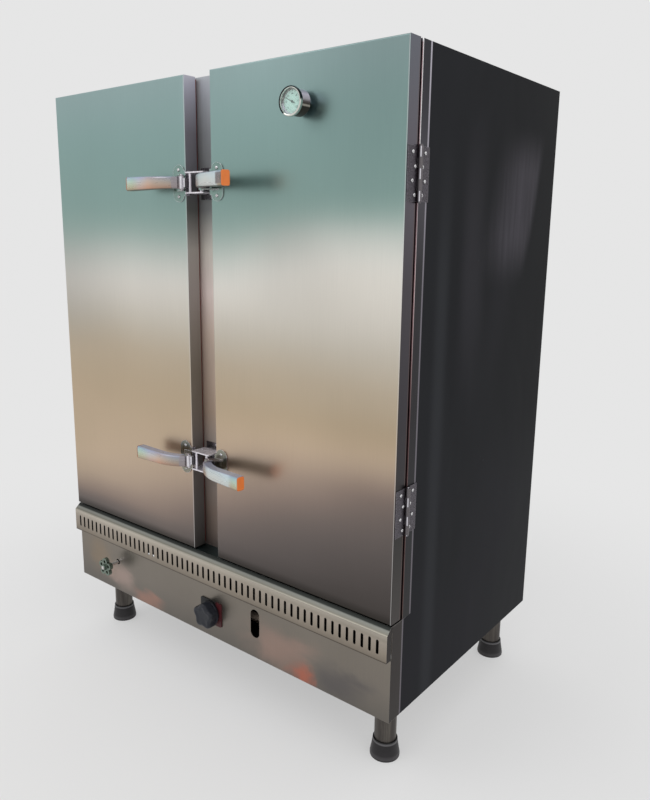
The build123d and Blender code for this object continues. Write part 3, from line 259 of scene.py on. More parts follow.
class Nodes:
    """A node tree with short ways to add to it."""

    def __init__(self, tree):
        self.tree = tree

    def put(self, socket, value):
        value = getattr(value, "socket", value)
        if hasattr(value, "is_output"):
            self.tree.links.new(value, socket)
        else:
            socket.default_value = value

    def node(self, kind, inputs=(), **settings):
        node = self.tree.nodes.new(kind)
        for name, value in settings.items():
            setattr(node, name, value)
        for name, value in dict(inputs).items():
            self.put(node.inputs[name], value)
        return node

    def made(self, kind, output, inputs, **settings):
        """One output of a new node."""
        return Value(self, self.node(kind, inputs, **settings).outputs[output])

    def math(self, operation, a, b=0.0):
        return self.made("ShaderNodeMath", 0, {0: a, 1: b}, operation=operation)

    def distance(self, a, b):
        return (abs(a).math("POWER", 2) + abs(b).math("POWER", 2)).math("SQRT")

    def ramp(self, value, stops, kind="LINEAR"):
        node = self.node("ShaderNodeValToRGB", {0: value})
        node.color_ramp.interpolation = kind
        elements = node.color_ramp.elements
        elements[0].position, elements[0].color = stops[0]
        elements[1].position, elements[1].color = stops[-1]
        for position, shade in stops[1:-1]:
            elements.new(position).color = shade
        return Value(self, node.outputs[0])

    def mix(self, factor, a, b, kind="MIX"):
        return self.made("ShaderNodeMix", 2, {0: factor, 6: a, 7: b}, data_type="RGBA", blend_type=kind)

    def tint(self, shade, value):
        """shade made lighter or darker by a grey value about 1."""
        factor = self.made("ShaderNodeCombineColor", 0, {0: value, 1: value, 2: value})
        return self.mix(1.0, shade, factor, "MULTIPLY")


class Paint(Nodes):
    """One node material, put together value by value."""

    def __init__(self, name):
        self.material = bpy.data.materials.new(name)
        self.material.use_nodes = True
        super().__init__(self.material.node_tree)
        self.shader = self.tree.nodes["Principled BSDF"]
        self.output = self.tree.nodes["Material Output"]
        self.place = self.node("ShaderNodeTexCoord").outputs
        self.x, self.y, self.z = self.split("Object")
        self.normal = self.split("Normal")

    def split(self, name):
        node = self.node("ShaderNodeSeparateXYZ", {0: self.place[name]})
        return [Value(self, socket) for socket in node.outputs]

    def set(self, name, value):
        self.put(self.shader.inputs[name], value)

    def finish(self, shade, metallic, roughness, normal=None, gloss=0.5):
        """The finished material, with its colour, metal share, roughness, relief and gloss."""
        self.set("Base Color", shade)
        self.set("Metallic", metallic)
        self.set("Roughness", roughness)
        self.set("Specular IOR Level", gloss)
        if normal is not None:
            self.set("Normal", normal)
        return self.material

    def from_gauge(self):
        """Sideways, upward and straight distance from the middle of the thermometer."""
        out_x = self.x - gauge_centre.x
        out_z = self.z - gauge_centre.z
        return out_x, out_z, self.distance(out_x, out_z)

    def noise(self, scale, detail=2.0, stretch=None, roughness=0.5, warp=0.0):
        source = self.place["Object"]
        if stretch:
            source = self.made("ShaderNodeMapping", "Vector", {"Vector": source, "Scale": stretch})
        inputs = {"Vector": source, "Scale": scale, "Detail": detail}
        inputs.update({"Roughness": roughness, "Distortion": warp})
        return self.made("ShaderNodeTexNoise", "Fac", inputs)

    def bump(self, height, distance, strength=1.0, edge=None):
        """Relief from a height, over edges rounded by a radius or over another relief."""
        inputs = {"Height": height, "Distance": distance, "Strength": strength}
        if isinstance(edge, float):
            edge = self.soft_edges(edge)
        if edge is not None:
            inputs["Normal"] = edge
        return self.made("ShaderNodeBump", "Normal", inputs)

    def worn_edges(self, radius):
        """1 along the edges of a piece and 0 on its flat faces; the materials use it for painted
        highlights and painted shade on edges.
        """
        bevel = self.made("ShaderNodeBevel", "Normal", {"Radius": radius}, samples=6)
        faces = self.node("ShaderNodeNewGeometry").outputs["True Normal"]
        dot = self.made("ShaderNodeVectorMath", "Value", {0: bevel, 1: faces}, operation="DOT_PRODUCT")
        return dot.fit(0.995, 0.90)

    def soft_edges(self, radius):
        return self.made("ShaderNodeBevel", "Normal", {"Radius": radius}, samples=4)


def brushed(name, shade, grain_axis="z", roughness=0.32, spread=0.035, edge=0.0006, waviness=0.0):
    """Brushed sheet steel with its grain along one axis."""
    paint = Paint(name)
    long, fine = 1.2, 90.0
    stretch = {"x": (long, fine, fine), "y": (fine, long, fine), "z": (fine, fine, long)}[grain_axis]
    grain = paint.noise(7.0, 5.0, stretch, 0.65)
    cloud = paint.noise(4.0, 3.0)
    tone = grain.fit(0.25, 0.75, 1.0 - spread, 1.0 + spread) * cloud.fit(0.2, 0.8, 0.95, 1.05)
    normal = paint.soft_edges(edge)
    if waviness:
        swell = paint.noise(3.2, 1.0, (1.0, 1.0, 0.7))
        normal = paint.bump(swell, waviness, 1.0, normal)
    return paint.finish(
        paint.tint(shade, tone), 1.0, grain.fit(0.2, 0.8, roughness - 0.06, roughness + 0.06),
        paint.bump(grain, 0.00002, 0.6, normal)
    )


def door_steel():
    """Brushed door sheet with painted reflections of its surroundings in soft bands and patches,
    painted shade along its bottom, and painted light on its edges.
    """
    paint = Paint("door_steel")
    height = paint.z.fit(door_top, door_bottom)
    x = paint.x
    # level picks the painted reflection band; the sums below bend and shift the bands across the door.
    level = height + paint.noise(2.1, 2.0).fit(0.2, 0.8, -1.0, 1.0) * 0.014
    level += height.spot(0.34, 0.16) * x.smooth(0.02, 0.4) * 0.045
    level += height.smooth(0.6, 0.78) * x.fit(-0.15, 0.54) * 0.19
    left_low = height.smooth(0.68, 0.85) * height.fit(0.9, 0.985, 1.0, 0.0)
    level -= left_low * x.fit(-0.53, -0.15, 1.0, 0.0) * 0.1
    level += height.smooth(0.94, 1.0) * 0.035
    deepest = 1.25
    # Colours of the painted reflection bands, from the top of the door down.
    reflection_bands = [
        (0.0, 140, 160, 160), (0.1, 128, 155, 152), (0.24, 125, 150, 145), (0.3, 138, 160, 154),
        (0.36, 184, 188, 182), (0.42, 208, 204, 197), (0.5, 186, 180, 168), (0.57, 177, 163, 143),
        (0.67, 173, 155, 130), (0.77, 186, 166, 143), (0.85, 170, 151, 134), (0.92, 137, 121, 112),
        (0.98, 108, 99, 95), (1.05, 90, 84, 82), (1.13, 75, 70, 68), (deepest, 64, 60, 58),
    ]
    stops = [(position / deepest, steel(*shade)) for position, *shade in reflection_bands]
    shade = paint.ramp(level / deepest, stops, "B_SPLINE")
    grain = paint.noise(7.0, 6.0, (95.0, 95.0, 1.1), 0.7)
    cloud = paint.noise(2.6, 4.0, (1.0, 1.0, 0.6), 0.55)
    tone = grain.fit(0.25, 0.75, 0.965, 1.035) * cloud.fit(0.2, 0.8, 0.95, 1.05)
    # Patches of painted light and shade over the reflection bands: a mask across the door, a mask up
    # it, and the tone.
    painted_light_patches = (
        (x.smooth(0.15, 0.52), height.fit(0.3, 0.0), 0.66),
        (x.fit(-0.53, -0.25, 1.0, 0.0), height.spot(0.44, 0.22), 0.78),
        (x.smooth(0.3, 0.53), height.spot(0.37, 0.16), 1.12),
        (x.smooth(0.3, 0.5), height.spot(0.7, 0.2), 0.91),
        (x.spot(0.1, 0.16), height.spot(0.39, 0.14), 1.09),
        (x.spot(0.27, 0.14), height.spot(0.31, 0.1), 0.92),
        (x.fit(-0.5, -0.25, 1.0, 0.0), height.spot(0.93, 0.1), 0.87),
    )
    for sidelong, upright, strength in painted_light_patches:
        tone *= (sidelong * upright).between(1.0, strength)
    shade = paint.tint(shade, tone)
    # Painted shade along the bottom of each door, above the vent strip.
    under = paint.z.smooth(door_bottom + 0.003, door_bottom + 0.026, 1.0, 0.0)
    shade = shade.mix(under * 0.75, steel(48, 45, 42))
    across = abs(paint.normal[0])
    sideways = across.smooth(0.8, 0.97)
    # Painted light and shade on the hinge-side edges, changing with height.
    hinge_edge = height.ramp(
        steel, (0.0, 94, 96, 104), (0.2, 88, 83, 90), (0.39, 66, 62, 67), (0.61, 50, 47, 52),
        (0.83, 42, 40, 38), (1.0, 60, 56, 54)
    )
    # Painted reflections on the edges beside the middle gap, changing with height.
    gap_edge = height.ramp(
        colour, (0.02, 185, 184, 196), (0.11, 137, 133, 141), (0.18, 130, 129, 134),
        (0.26, 106, 107, 104), (0.34, 170, 164, 160), (0.43, 154, 148, 144), (0.6, 128, 122, 112),
        (0.77, 125, 117, 112), (0.92, 98, 95, 94), (1.0, 80, 76, 73)
    )
    outer = abs(paint.x).smooth(0.2, 0.4)
    shade = shade.mix(sideways, paint.mix(outer, gap_edge, hinge_edge))
    # Painted highlight on the rounded folds of the sheet.
    fold_highlight = across.smooth(0.2, 0.45) * across.fit(0.7, 0.85, 1.0, 0.0)
    shade = shade.mix(fold_highlight * 0.38, steel(206, 206, 206))
    # Painted reddish shade along the rear of the hinge-side edges.
    rear = sideways * paint.y.fit(-0.3075, -0.305) * outer
    shade = shade.mix(rear * 0.5, steel(96, 74, 72))
    in_gap = sideways * (1.0 - outer)
    swell = paint.bump(paint.noise(3.0, 1.0, (1.0, 1.0, 0.8)), 0.0015)
    return paint.finish(
        shade, in_gap.between(1.0, 0.35), grain.fit(0.2, 0.8, 0.27, 0.39),
        paint.bump(grain, 0.00003, 0.6, swell)
    )


def frame_sheet():
    """Sheet of the door frame with painted light: pale painted reflections high in the gap between the
    doors, darker towards the sill, painted shade beside the hinges, and a painted highlight along its
    outer front corners.
    """
    paint = Paint("frame_sheet")
    height = paint.z.fit(door_top, door_bottom)
    # Painted reflections on the frame in the middle gap, changing with height.
    middle = height.ramp(
        colour, (0.02, 186, 190, 196), (0.11, 146, 149, 152), (0.18, 134, 136, 137),
        (0.26, 138, 140, 140), (0.34, 212, 207, 198), (0.43, 240, 224, 218), (0.52, 214, 194, 180),
        (0.69, 186, 164, 146), (0.77, 178, 167, 160), (0.92, 134, 118, 108), (1.0, 98, 87, 82)
    )
    # Painted shade on the frame beside the hinges, changing with height.
    outside = height.ramp(
        steel, (0.0, 40, 40, 46), (0.1, 48, 47, 53), (0.21, 72, 70, 76), (0.36, 40, 39, 42),
        (0.61, 34, 32, 35), (0.83, 31, 31, 34), (1.0, 30, 29, 31)
    )
    apart = abs(paint.x).smooth(0.3, 0.45)
    grain = paint.noise(7.0, 5.0, (90.0, 90.0, 1.2), 0.65)
    cloud = paint.noise(9.0, 4.0, (1.0, 1.0, 0.4))
    tone = grain.fit(0.25, 0.75, 0.94, 1.06) * cloud.fit(0.25, 0.75, 0.86, 1.12)
    shade = paint.tint(paint.mix(apart, middle, outside), tone)
    # Painted highlight line along the outer front corners of the frame.
    corner = abs(paint.x).fit(0.5478, 0.5484) * paint.y.fit(-0.2932, -0.2938)
    corner_highlight = height.ramp(
        steel, (0.0, 236, 228, 236), (0.15, 255, 246, 255), (0.19, 150, 144, 150),
        (0.39, 200, 182, 182), (0.61, 108, 88, 88), (1.0, 96, 82, 78)
    )
    shade = shade.mix(corner, corner_highlight)
    return paint.finish(
        shade, apart.between(0.3, 1.0), grain.fit(0.2, 0.8, 0.3, 0.42),
        paint.bump(grain, 0.00002, 0.6, 0.0008)
    )


def front_steel():
    """Sheet of the lower front and the vent strip: warm grey, with painted coloured reflections,
    painted shade and painted highlights on its edges.
    """
    paint = Paint("front_steel")
    height = paint.z
    # Bands by height, with painted light: a painted shadow line where the strip meets the panel,
    # painted reflections on the strip and ledge, and painted shade under the doors.
    shade = height.fit(0.16, 0.385).ramp(
        steel, (0.0, 100, 96, 91), (0.3, 114, 108, 101), (0.64, 118, 112, 104), (0.66, 66, 60, 54),
        (0.675, 122, 114, 104), (0.75, 138, 129, 118), (0.84, 148, 139, 129), (0.88, 156, 148, 137),
        (0.925, 172, 165, 154), (0.938, 140, 136, 126), (0.945, 106, 104, 96), (0.956, 118, 118, 112),
        (0.968, 120, 121, 116), (0.976, 50, 52, 50), (1.0, 28, 30, 29)
    )
    # Painted shade: the vent strip fades darker towards its right end.
    rightward = paint.x.smooth(-0.2, 0.5)
    strip = height.smooth(0.35, 0.36)
    shade = paint.tint(shade, (rightward * strip).between(1.05, 0.84))
    drift = paint.noise(9.0, 3.0, (1.0, 1.0, 1.6), 0.6, 0.4).fit(0.25, 0.75, -0.035, 0.035)
    along = paint.x + drift
    upward = height + drift * 0.5
    # Soft painted reflections: x, width, z, height, strength and colour.
    spots = (
        (0.235, 0.15, 0.215, 0.075, 0.62, (156, 130, 119)),
        (0.322, 0.05, 0.178, 0.04, 0.7, (178, 100, 78)),
        (-0.245, 0.095, 0.175, 0.036, 0.6, (160, 120, 106)),
        (-0.375, 0.11, 0.205, 0.06, 0.85, (156, 138, 130)),
        (-0.46, 0.1, 0.25, 0.09, 0.5, (140, 122, 100)),
        (0.42, 0.1, 0.2, 0.06, 0.6, (84, 82, 84)),
    )
    for x, width, z, tall, strength, seen in spots:
        spot = along.spot(x, width) * upward.spot(z, tall)
        shade = shade.mix(spot * strength, steel(*seen))
    # Painted shade on the side-facing ends of the panel and strip.
    sideways = abs(paint.normal[0]).smooth(0.8, 0.97)
    shade = shade.mix(sideways, steel(44, 39, 37))
    grain = paint.noise(7.0, 6.0, (95.0, 95.0, 1.2), 0.7)
    cloud = paint.noise(5.0, 4.0)
    tone = grain.fit(0.25, 0.75, 0.95, 1.05) * cloud.fit(0.2, 0.8, 0.93, 1.07)
    shade = paint.tint(shade, tone)
    # Painted bluish reflection on the top of the sill in the middle gap.
    flange = (
        paint.normal[2].smooth(0.8, 0.97)
        * height.fit(0.38, 0.384)
        * abs(paint.x).fit(0.1, 0.16, 1.0, 0.0)
    )
    shade = shade.mix(flange, steel(84, 104, 108))
    # Painted highlights along the edges.
    shade = shade.mix(paint.worn_edges(0.0009) * 0.35, steel(176, 174, 168))
    return paint.finish(
        shade, 1.0, grain.fit(0.2, 0.8, 0.3, 0.44), paint.bump(grain, 0.00003, 0.6, 0.0006)
    )


def side_sheet():
    """Near-black glossy sheet of the sides, with faint upright streaks, soft painted reflections,
    painted shade towards the back and a painted highlight along its front edge.
    """
    paint = Paint("side_sheet")
    # The masks below place painted reflections: a lighter sheen high on the sheet, broken by upright
    # streaks, and fainter ones beside it.
    drift = paint.noise(2.2, 3.0, (1.0, 1.0, 0.5), 0.5, 0.3).fit(0.25, 0.75, -0.03, 0.03)
    lean = (paint.z - 1.25) * 0.3
    across = paint.y + drift - lean
    left_rise = across.smooth(-0.02, 0.15, 0.0, 1.0)
    right_fall = across.smooth(0.215, 0.255, 1.0, 0.0)
    fading_up = paint.z.smooth(1.31, 1.43, 1.0, 0.0)
    upright = paint.z.smooth(1.05, 1.19) * fading_up
    streaks = paint.noise(7.0, 4.0, (1.0, 9.0, 0.5), 0.6)
    painted_sheen = left_rise * right_fall * upright * streaks.fit(0.25, 0.75, 0.55, 1.15)
    tail = across.spot(0.14, 0.1) * paint.z.fit(0.7, 1.12) * paint.z.fit(1.35, 1.25)
    first = paint.y.spot(-0.185, 0.045) * paint.z.fit(1.38, 1.1)
    second = (paint.y + drift).spot(-0.06, 0.075) * paint.z.spot(1.12, 0.42)
    wave = paint.noise(3.0, 3.0, (1.0, 1.0, 0.5), 0.5, 0.4)
    shade = wave.ramp(colour, (0.3, 27, 28, 31), (0.55, 32, 33, 36), (0.75, 37, 37, 41))
    # Painted reflections laid over the dark sheet.
    shade = shade.mix(painted_sheen * 0.8, colour(82, 79, 86))
    shade = shade.mix(tail * 0.12, colour(70, 68, 76))
    shade = shade.mix(first * 0.28, colour(62, 64, 68))
    shade = shade.mix(second * 0.3, colour(66, 64, 70))
    specks = paint.noise(90.0, 2.0, None, 0.7).smooth(0.76, 0.82)
    shade = shade.mix(specks * 0.25, colour(110, 110, 114))
    # Painted light and shade: brighter at the front and darker towards the back, most of all high up.
    backward = paint.y.fit(-0.25, 0.32)
    high = paint.z.smooth(0.5, 0.8)
    deepening = paint.mix(high, backward.between(1.02, 0.92), backward.between(1.16, 0.62))
    shade = paint.tint(shade, deepening)
    # Painted highlight along the front edge of the side, beside the frame.
    beside_frame = paint.z.fit(0.384, 0.386)
    line = paint.y + beside_frame.between(0.2902, 0.2628)
    front_edge = line.fit(-0.0004, 0.0004, 1.0, 0.0)
    front_edge_highlight = paint.z.fit(0.385, door_top).ramp(
        colour, (0.0, 112, 108, 114), (0.6, 122, 118, 126), (1.0, 184, 180, 190)
    )
    shade = shade.mix(front_edge * 0.9, front_edge_highlight)
    return paint.finish(
        shade, 0.0, wave.fit(0.3, 0.7, 0.3, 0.42), paint.bump(wave, 0.003, 1.0, 0.0008), gloss=0.02
    )


def lever_steel():
    """Bright channel steel with painted reflections: bluish above, warm below, greener towards the tip,
    with painted light and shade on its faces and edges.
    """
    paint = Paint("lever_steel")
    upper = paint.z.math("GREATER_THAN", (latch_levels["lower"] + latch_levels["upper"]) / 2)
    lift = upper.between(latch_levels["lower"], latch_levels["upper"])
    across = (paint.z - lift).fit(-0.016, 0.016)
    # Painted reflection bands across the height of the channel.
    shade = across.ramp(
        colour, (0.0, 150, 128, 112), (0.14, 206, 178, 160), (0.4, 216, 206, 194),
        (0.66, 208, 214, 216), (0.88, 190, 202, 224), (1.0, 150, 156, 190)
    )
    drift = paint.noise(14.0, 2.0).fit(0.25, 0.75, -0.012, 0.012)
    along = abs(paint.x) + drift
    # Painted reflection tints along the lever.
    tint = along.fit(0.03, 0.19).ramp(
        colour, (0.0, 188, 184, 184), (0.25, 212, 200, 192), (0.45, 240, 214, 200),
        (0.7, 236, 232, 236), (0.9, 222, 244, 226), (1.0, 232, 250, 238)
    )
    shade = shade.mix(1.0, tint, "MULTIPLY")
    # Painted pale reflection on the right-hand levers.
    right = paint.x.smooth(0.05, 0.08) * paint.x.fit(0.15, 0.16, 1.0, 0.0)
    shade = shade.mix(right * 0.65, colour(208, 226, 228))
    # A dark mottled zone on the front of the upper right lever, towards its plug.
    mottles = paint.noise(160.0, 4.0, None, 0.7)
    dark_mottle = mottles.ramp(colour, (0.35, 84, 72, 74), (0.65, 132, 118, 120))
    dark_mottle_zone = paint.x.fit(0.146, 0.15) * across.fit(0.1, 0.2) * across.fit(0.92, 0.82) * upper
    shade = shade.mix(dark_mottle_zone * 0.85, dark_mottle)
    # Painted light on faces that look up and painted shade on faces that look down.
    upward = paint.normal[2].smooth(0.6, 0.95)
    shade = shade.mix(upward * 0.8, colour(172, 180, 206))
    underside_shade = paint.normal[2].smooth(-0.95, -0.6, 1.0, 0.0)
    shade = shade.mix(underside_shade * 0.8, colour(92, 76, 66))
    # Painted shade along the edges.
    shade = shade.mix(paint.worn_edges(0.0007) * 0.3, colour(104, 96, 112))
    # Near the pivot: painted shade on the boss, a painted highlight, then painted shade at the nose
    # tip; painted shade at the channel's far end.
    reach = abs(paint.x)
    root = reach.fit(0.044, 0.045, 1.0, 0.0)
    shade = shade.mix(root * 0.8, colour(150, 143, 148))
    bright_line = reach.fit(0.03, 0.0308, 1.0, 0.0)
    shade = shade.mix(bright_line, colour(240, 238, 244))
    inner_end = reach.fit(0.0258, 0.0266, 1.0, 0.0)
    shade = shade.mix(inner_end, colour(64, 60, 64))
    tip = reach.fit(0.1832, 0.1838)
    shade = shade.mix(tip * 0.7, colour(110, 98, 96))
    scuffs = paint.noise(40.0, 4.0, (0.3, 1.0, 2.0), 0.5)
    return paint.finish(
        paint.tint(shade, scuffs.fit(0.25, 0.75, 0.95, 1.04)), 0.55, scuffs.fit(0.25, 0.75, 0.22, 0.34),
        paint.bump(scuffs, 0.00001, 0.3)
    )


def latch_steel():
    """Pressed latch plates: painted reflections give them the door's colour, and painted highlights
    brighten their edges.
    """
    paint = Paint("latch_steel")
    height = paint.z.fit(0.55, 1.37)
    # Painted reflections: front faces and cheeks take different colours, changing with height.
    facing = abs(paint.normal[1]).smooth(0.6, 0.95)
    plate = paint.mix(height, steel(132, 128, 116), steel(122, 148, 142))
    cheek = paint.mix(height, steel(120, 108, 108), steel(132, 128, 126))
    streaks = paint.noise(60.0, 4.0, (1.0, 1.0, 0.3), 0.6)
    shade = paint.tint(paint.mix(facing, cheek, plate), streaks.fit(0.25, 0.75, 0.84, 1.14))
    # Painted highlight on the lip beside the middle gap.
    gap_lip = abs(paint.normal[0]).smooth(0.8, 0.95) * abs(paint.x).fit(0.0425, 0.043, 1.0, 0.0)
    shade = shade.mix(gap_lip, steel(228, 226, 234))
    # Painted highlights along the edges, weaker on the bracket in front.
    ahead = paint.y.fit(-0.346, -0.352)
    edges = paint.worn_edges(0.001) * ahead.between(1.0, 0.35)
    shade = shade.mix(edges, steel(226, 222, 232))
    return paint.finish(
        shade, 1.0, streaks.fit(0.25, 0.75, 0.18, 0.32), paint.bump(streaks, 0.00004, 0.5, 0.0006)
    )


def keeper_steel():
    """Bright plated bracket and pins of the keepers, with painted highlights on their edges."""
    paint = Paint("keeper_steel")
    streaks = paint.noise(60.0, 4.0, (1.0, 1.0, 0.3), 0.6)
    ahead = paint.y.fit(-0.3, -0.315)
    arm = streaks.ramp(colour, (0.3, 214, 208, 216), (0.7, 244, 240, 246))
    plate = streaks.ramp(steel, (0.3, 96, 94, 98), (0.7, 126, 122, 126))
    # Painted highlights along the edges.
    edges = paint.worn_edges(0.0008)
    shade = paint.mix(edges * 0.5, paint.mix(ahead, plate, arm), steel(235, 232, 240))
    return paint.finish(
        shade, ahead.between(1.0, 0.5), streaks.fit(0.25, 0.75, 0.18, 0.32),
        paint.bump(streaks, 0.00003, 0.5, 0.0005)
    )


def hinge_steel():
    """Mottled grey hinge leaves and a barrel made of knuckles, with a painted highlight on alternate
    knuckles and painted highlights on the edges.
    """
    paint = Paint("hinge_steel")
    mottle = paint.noise(420.0, 4.0, (1.0, 1.0, 1.0), 0.75)
    leaf = mottle.ramp(steel, (0.3, 44, 40, 44), (0.5, 70, 66, 72), (0.7, 104, 100, 106))
    out_x = abs(paint.x) - hinge_x
    out_y = paint.y - hinge_y
    off = paint.distance(out_x, out_y)
    barrel = off.fit(0.0052, 0.0056, 1.0, 0.0)
    knuckles = (paint.z + 0.011).math("PINGPONG", 0.02)
    bright = knuckles.fit(0.009, 0.011)
    # Painted highlight in a band round alternate knuckles.
    lit = paint.normal[0].spot(0.62, 0.28)
    pin = paint.mix(bright, steel(96, 92, 94), paint.mix(lit, steel(96, 92, 96), steel(206, 204, 210)))
    seam = abs(knuckles - 0.01).fit(0.0003, 0.0007, 1.0, 0.0)
    pin = pin.mix(seam, steel(40, 38, 42))
    shade = paint.mix(barrel, leaf, pin)
    # Painted highlights along the edges.
    shade = shade.mix(paint.worn_edges(0.0008) * 0.5, steel(170, 168, 174))
    return paint.finish(
        shade, 1.0, mottle.fit(0.3, 0.7, 0.22, 0.4), paint.bump(mottle, 0.00012, 0.8, 0.0005)
    )


def sooty_sheet():
    """Sheet round the burners: bright inside the tank, brown and dull where the flames reach."""
    paint = Paint("sooty_sheet")
    soot = paint.y.fit(-0.262, -0.266)
    under = paint.z.fit(0.275, 0.268)
    dark = soot.math("MAXIMUM", under)
    cloud = paint.noise(12.0, 4.0, (1.0, 1.0, 0.6), 0.6)
    bright = cloud.ramp(steel, (0.3, 150, 150, 146), (0.7, 178, 178, 174))
    brown = cloud.ramp(colour, (0.3, 26, 21, 18), (0.7, 44, 36, 30))
    return paint.finish(
        paint.mix(dark, bright, brown), dark.between(1.0, 0.1), dark.between(0.3, 0.8),
        paint.bump(cloud, 0.0004, 0.5, 0.0008)
    )


def screw_steel():
    """Bright zinc-plated screws with a dark cross; painted shade darkens their edges and the head
    outside a painted highlight band.
    """
    paint = Paint("screw_steel")
    mottle = paint.noise(500.0, 3.0)
    edges = paint.worn_edges(0.0003)
    shade = mottle.ramp(steel, (0.3, 206, 204, 208), (0.7, 236, 236, 240))
    # Painted shade along the edges.
    shade = shade.mix(edges * 0.25, steel(150, 148, 152))
    # Painted shade over the head, except in a painted highlight band.
    lit = paint.normal[2].spot(0.12, 0.42)
    shade = paint.mix(lit, paint.tint(shade, 0.3), shade)
    return paint.finish(shade, 0.9, mottle.fit(0.3, 0.7, 0.16, 0.26), paint.bump(mottle, 0.00003, 0.4))


def rim_steel():
    """Chromed gauge rim: a painted black reflection of the dark room on its upper part, silver below
    and inside.
    """
    paint = Paint("rim_steel")
    out_x, out_z, off = paint.from_gauge()
    # Where the painted black reflection lies: the upper, outer front of the rim.
    slant = out_x * -0.4 + out_z * 0.75
    upper = slant.smooth(-0.0125, -0.0085, 0.0, 1.0)
    inner = out_x.fit(-0.016, 0.022, 0.0243, 0.0266)
    outside = (off - inner).fit(0.0, 0.0004)
    ahead = paint.y.fit(-0.379, -0.3794)
    dark = upper * outside * ahead
    scuffs = paint.noise(160.0, 4.0, None, 0.6)
    shade = scuffs.ramp(steel, (0.3, 182, 184, 178), (0.7, 206, 206, 200))
    shade = shade.mix(dark, steel(26, 36, 38))
    return paint.finish(shade, 1.0, scuffs.fit(0.3, 0.7, 0.1, 0.2), paint.bump(scuffs, 0.00002, 0.4))


def knob_plate():
    """Plate behind the knob: black enamel that turns dark red towards its right side."""
    paint = Paint("knob_plate")
    redness = paint.x.smooth(knob_place[0] + 0.012, knob_place[0] + 0.024)
    mottle = paint.noise(50.0, 4.0, None, 0.6)
    shade = paint.mix(redness, colour(26, 27, 29), colour(72, 26, 30))
    return paint.finish(
        paint.tint(shade, mottle.fit(0.25, 0.75, 0.8, 1.2)), 0.0, mottle.fit(0.25, 0.75, 0.38, 0.52),
        paint.bump(paint.noise(900.0, 2.0), 0.00003, 0.5, 0.0006), gloss=0.3
    )


def gasket():
    """Door gasket: red-brown in the gap between the doors; painted light makes it paler and greyer at
    the hinge sides.
    """
    paint = Paint("gasket_rubber")
    # Painted light at the hinge sides.
    outer = abs(paint.x).fit(0.5, 0.54)
    mottle = paint.noise(60.0, 4.0)
    shade = paint.mix(outer, colour(120, 66, 60), colour(176, 142, 146))
    return paint.finish(
        paint.tint(shade, mottle.fit(0.2, 0.8, 0.8, 1.2)), 0.0, mottle.fit(0.2, 0.8, 0.5, 0.7),
        paint.bump(paint.noise(900.0, 3.0), 0.00005, 0.5, 0.001), gloss=0.3
    )


def plug_plastic():
    """Orange end plug: painted bright light on its face and painted brown shade round its sides."""
    paint = Paint("plug_plastic")
    mottle = paint.noise(40.0, 3.0)
    # Painted light on the face and painted shade on the sides.
    facing = abs(paint.normal[0]).smooth(0.35, 0.8)
    shade = paint.mix(facing, colour(136, 82, 52), colour(244, 134, 66))
    # Painted shade, darker away from the middle.
    off = abs(paint.y - plug_middle)
    shade = paint.tint(shade, off.fit(0.004, 0.011, 1.0, 0.94))
    return paint.finish(
        paint.tint(shade, mottle.fit(0.2, 0.8, 0.92, 1.08)), 0.0, mottle.fit(0.2, 0.8, 0.34, 0.46),
        gloss=0.4
    )


def moulded(name, shade, roughness=0.38, gloss=0.4):
    """Moulded plastic with a fine texture."""
    paint = Paint(name)
    mottle = paint.noise(40.0, 3.0)
    return paint.finish(
        paint.tint(shade, mottle.fit(0.2, 0.8, 0.88, 1.12)), 0.0,
        paint.noise(300.0, 2.0).fit(0.2, 0.8, roughness - 0.06, roughness + 0.06),
        paint.bump(paint.noise(1200.0, 2.0), 0.00003, 0.5, 0.0006), gloss=gloss
    )


def foot_plastic():
    """Black moulded foot: painted highlights on the rim at its top and in a band low down, and painted
    shade at its bottom edge.
    """
    paint = Paint("foot_plastic")
    # Bands by height: painted shade at the bottom edge, a painted highlight band low down, a painted
    # highlight on the top rim.
    shade = paint.z.fit(0.0, 0.045).ramp(
        colour, (0.0, 22, 21, 22), (0.07, 30, 29, 30), (0.12, 66, 64, 66), (0.22, 62, 60, 62),
        (0.32, 40, 38, 40), (0.84, 34, 32, 34), (0.88, 96, 95, 97), (0.93, 88, 87, 89),
        (0.97, 44, 43, 45), (1.0, 36, 35, 36)
    )
    mottle = paint.noise(50.0, 4.0, (1.0, 1.0, 2.0), 0.6)
    return paint.finish(
        paint.tint(shade, mottle.fit(0.25, 0.75, 0.85, 1.15)), 0.0, mottle.fit(0.25, 0.75, 0.36, 0.5),
        paint.bump(paint.noise(900.0, 2.0), 0.00003, 0.5), gloss=0.3
    )


def polished(name, light, dark, roughness=0.16):
    """Bright steel with painted light where it faces up and painted shade where it faces down."""
    paint = Paint(name)
    # Painted light and shade by the way each face looks.
    shade = paint.normal[2].fit(-1.0, 1.0).ramp(
        steel, (0.05, *dark), (0.4, *light), (0.62, *light), (0.8, 190, 196, 205), (1.0, 225, 225, 228)
    )
    scuffs = paint.noise(55.0, 5.0, (1.0, 1.0, 2.0), 0.6)
    return paint.finish(
        paint.tint(shade, scuffs.fit(0.25, 0.75, 0.92, 1.05)), 1.0,
        scuffs.fit(0.25, 0.75, roughness, roughness + 0.1), paint.bump(scuffs, 0.00004, 0.5, 0.0006)
    )


def cast(name, shade, roughness=0.6, metallic=0.6, grain=0.0003):
    """Rough cast or plated metal."""
    paint = Paint(name)
    pits = paint.noise(260.0, 4.0, None, 0.6)
    cloud = paint.noise(30.0, 3.0)
    tone = pits.fit(0.2, 0.8, 0.8, 1.2) * cloud.fit(0.2, 0.8, 0.85, 1.15)
    return paint.finish(
        paint.tint(shade, tone), metallic, cloud.fit(0.2, 0.8, roughness - 0.1, roughness + 0.1),
        paint.bump(pits, grain, 0.6, 0.0008)
    )


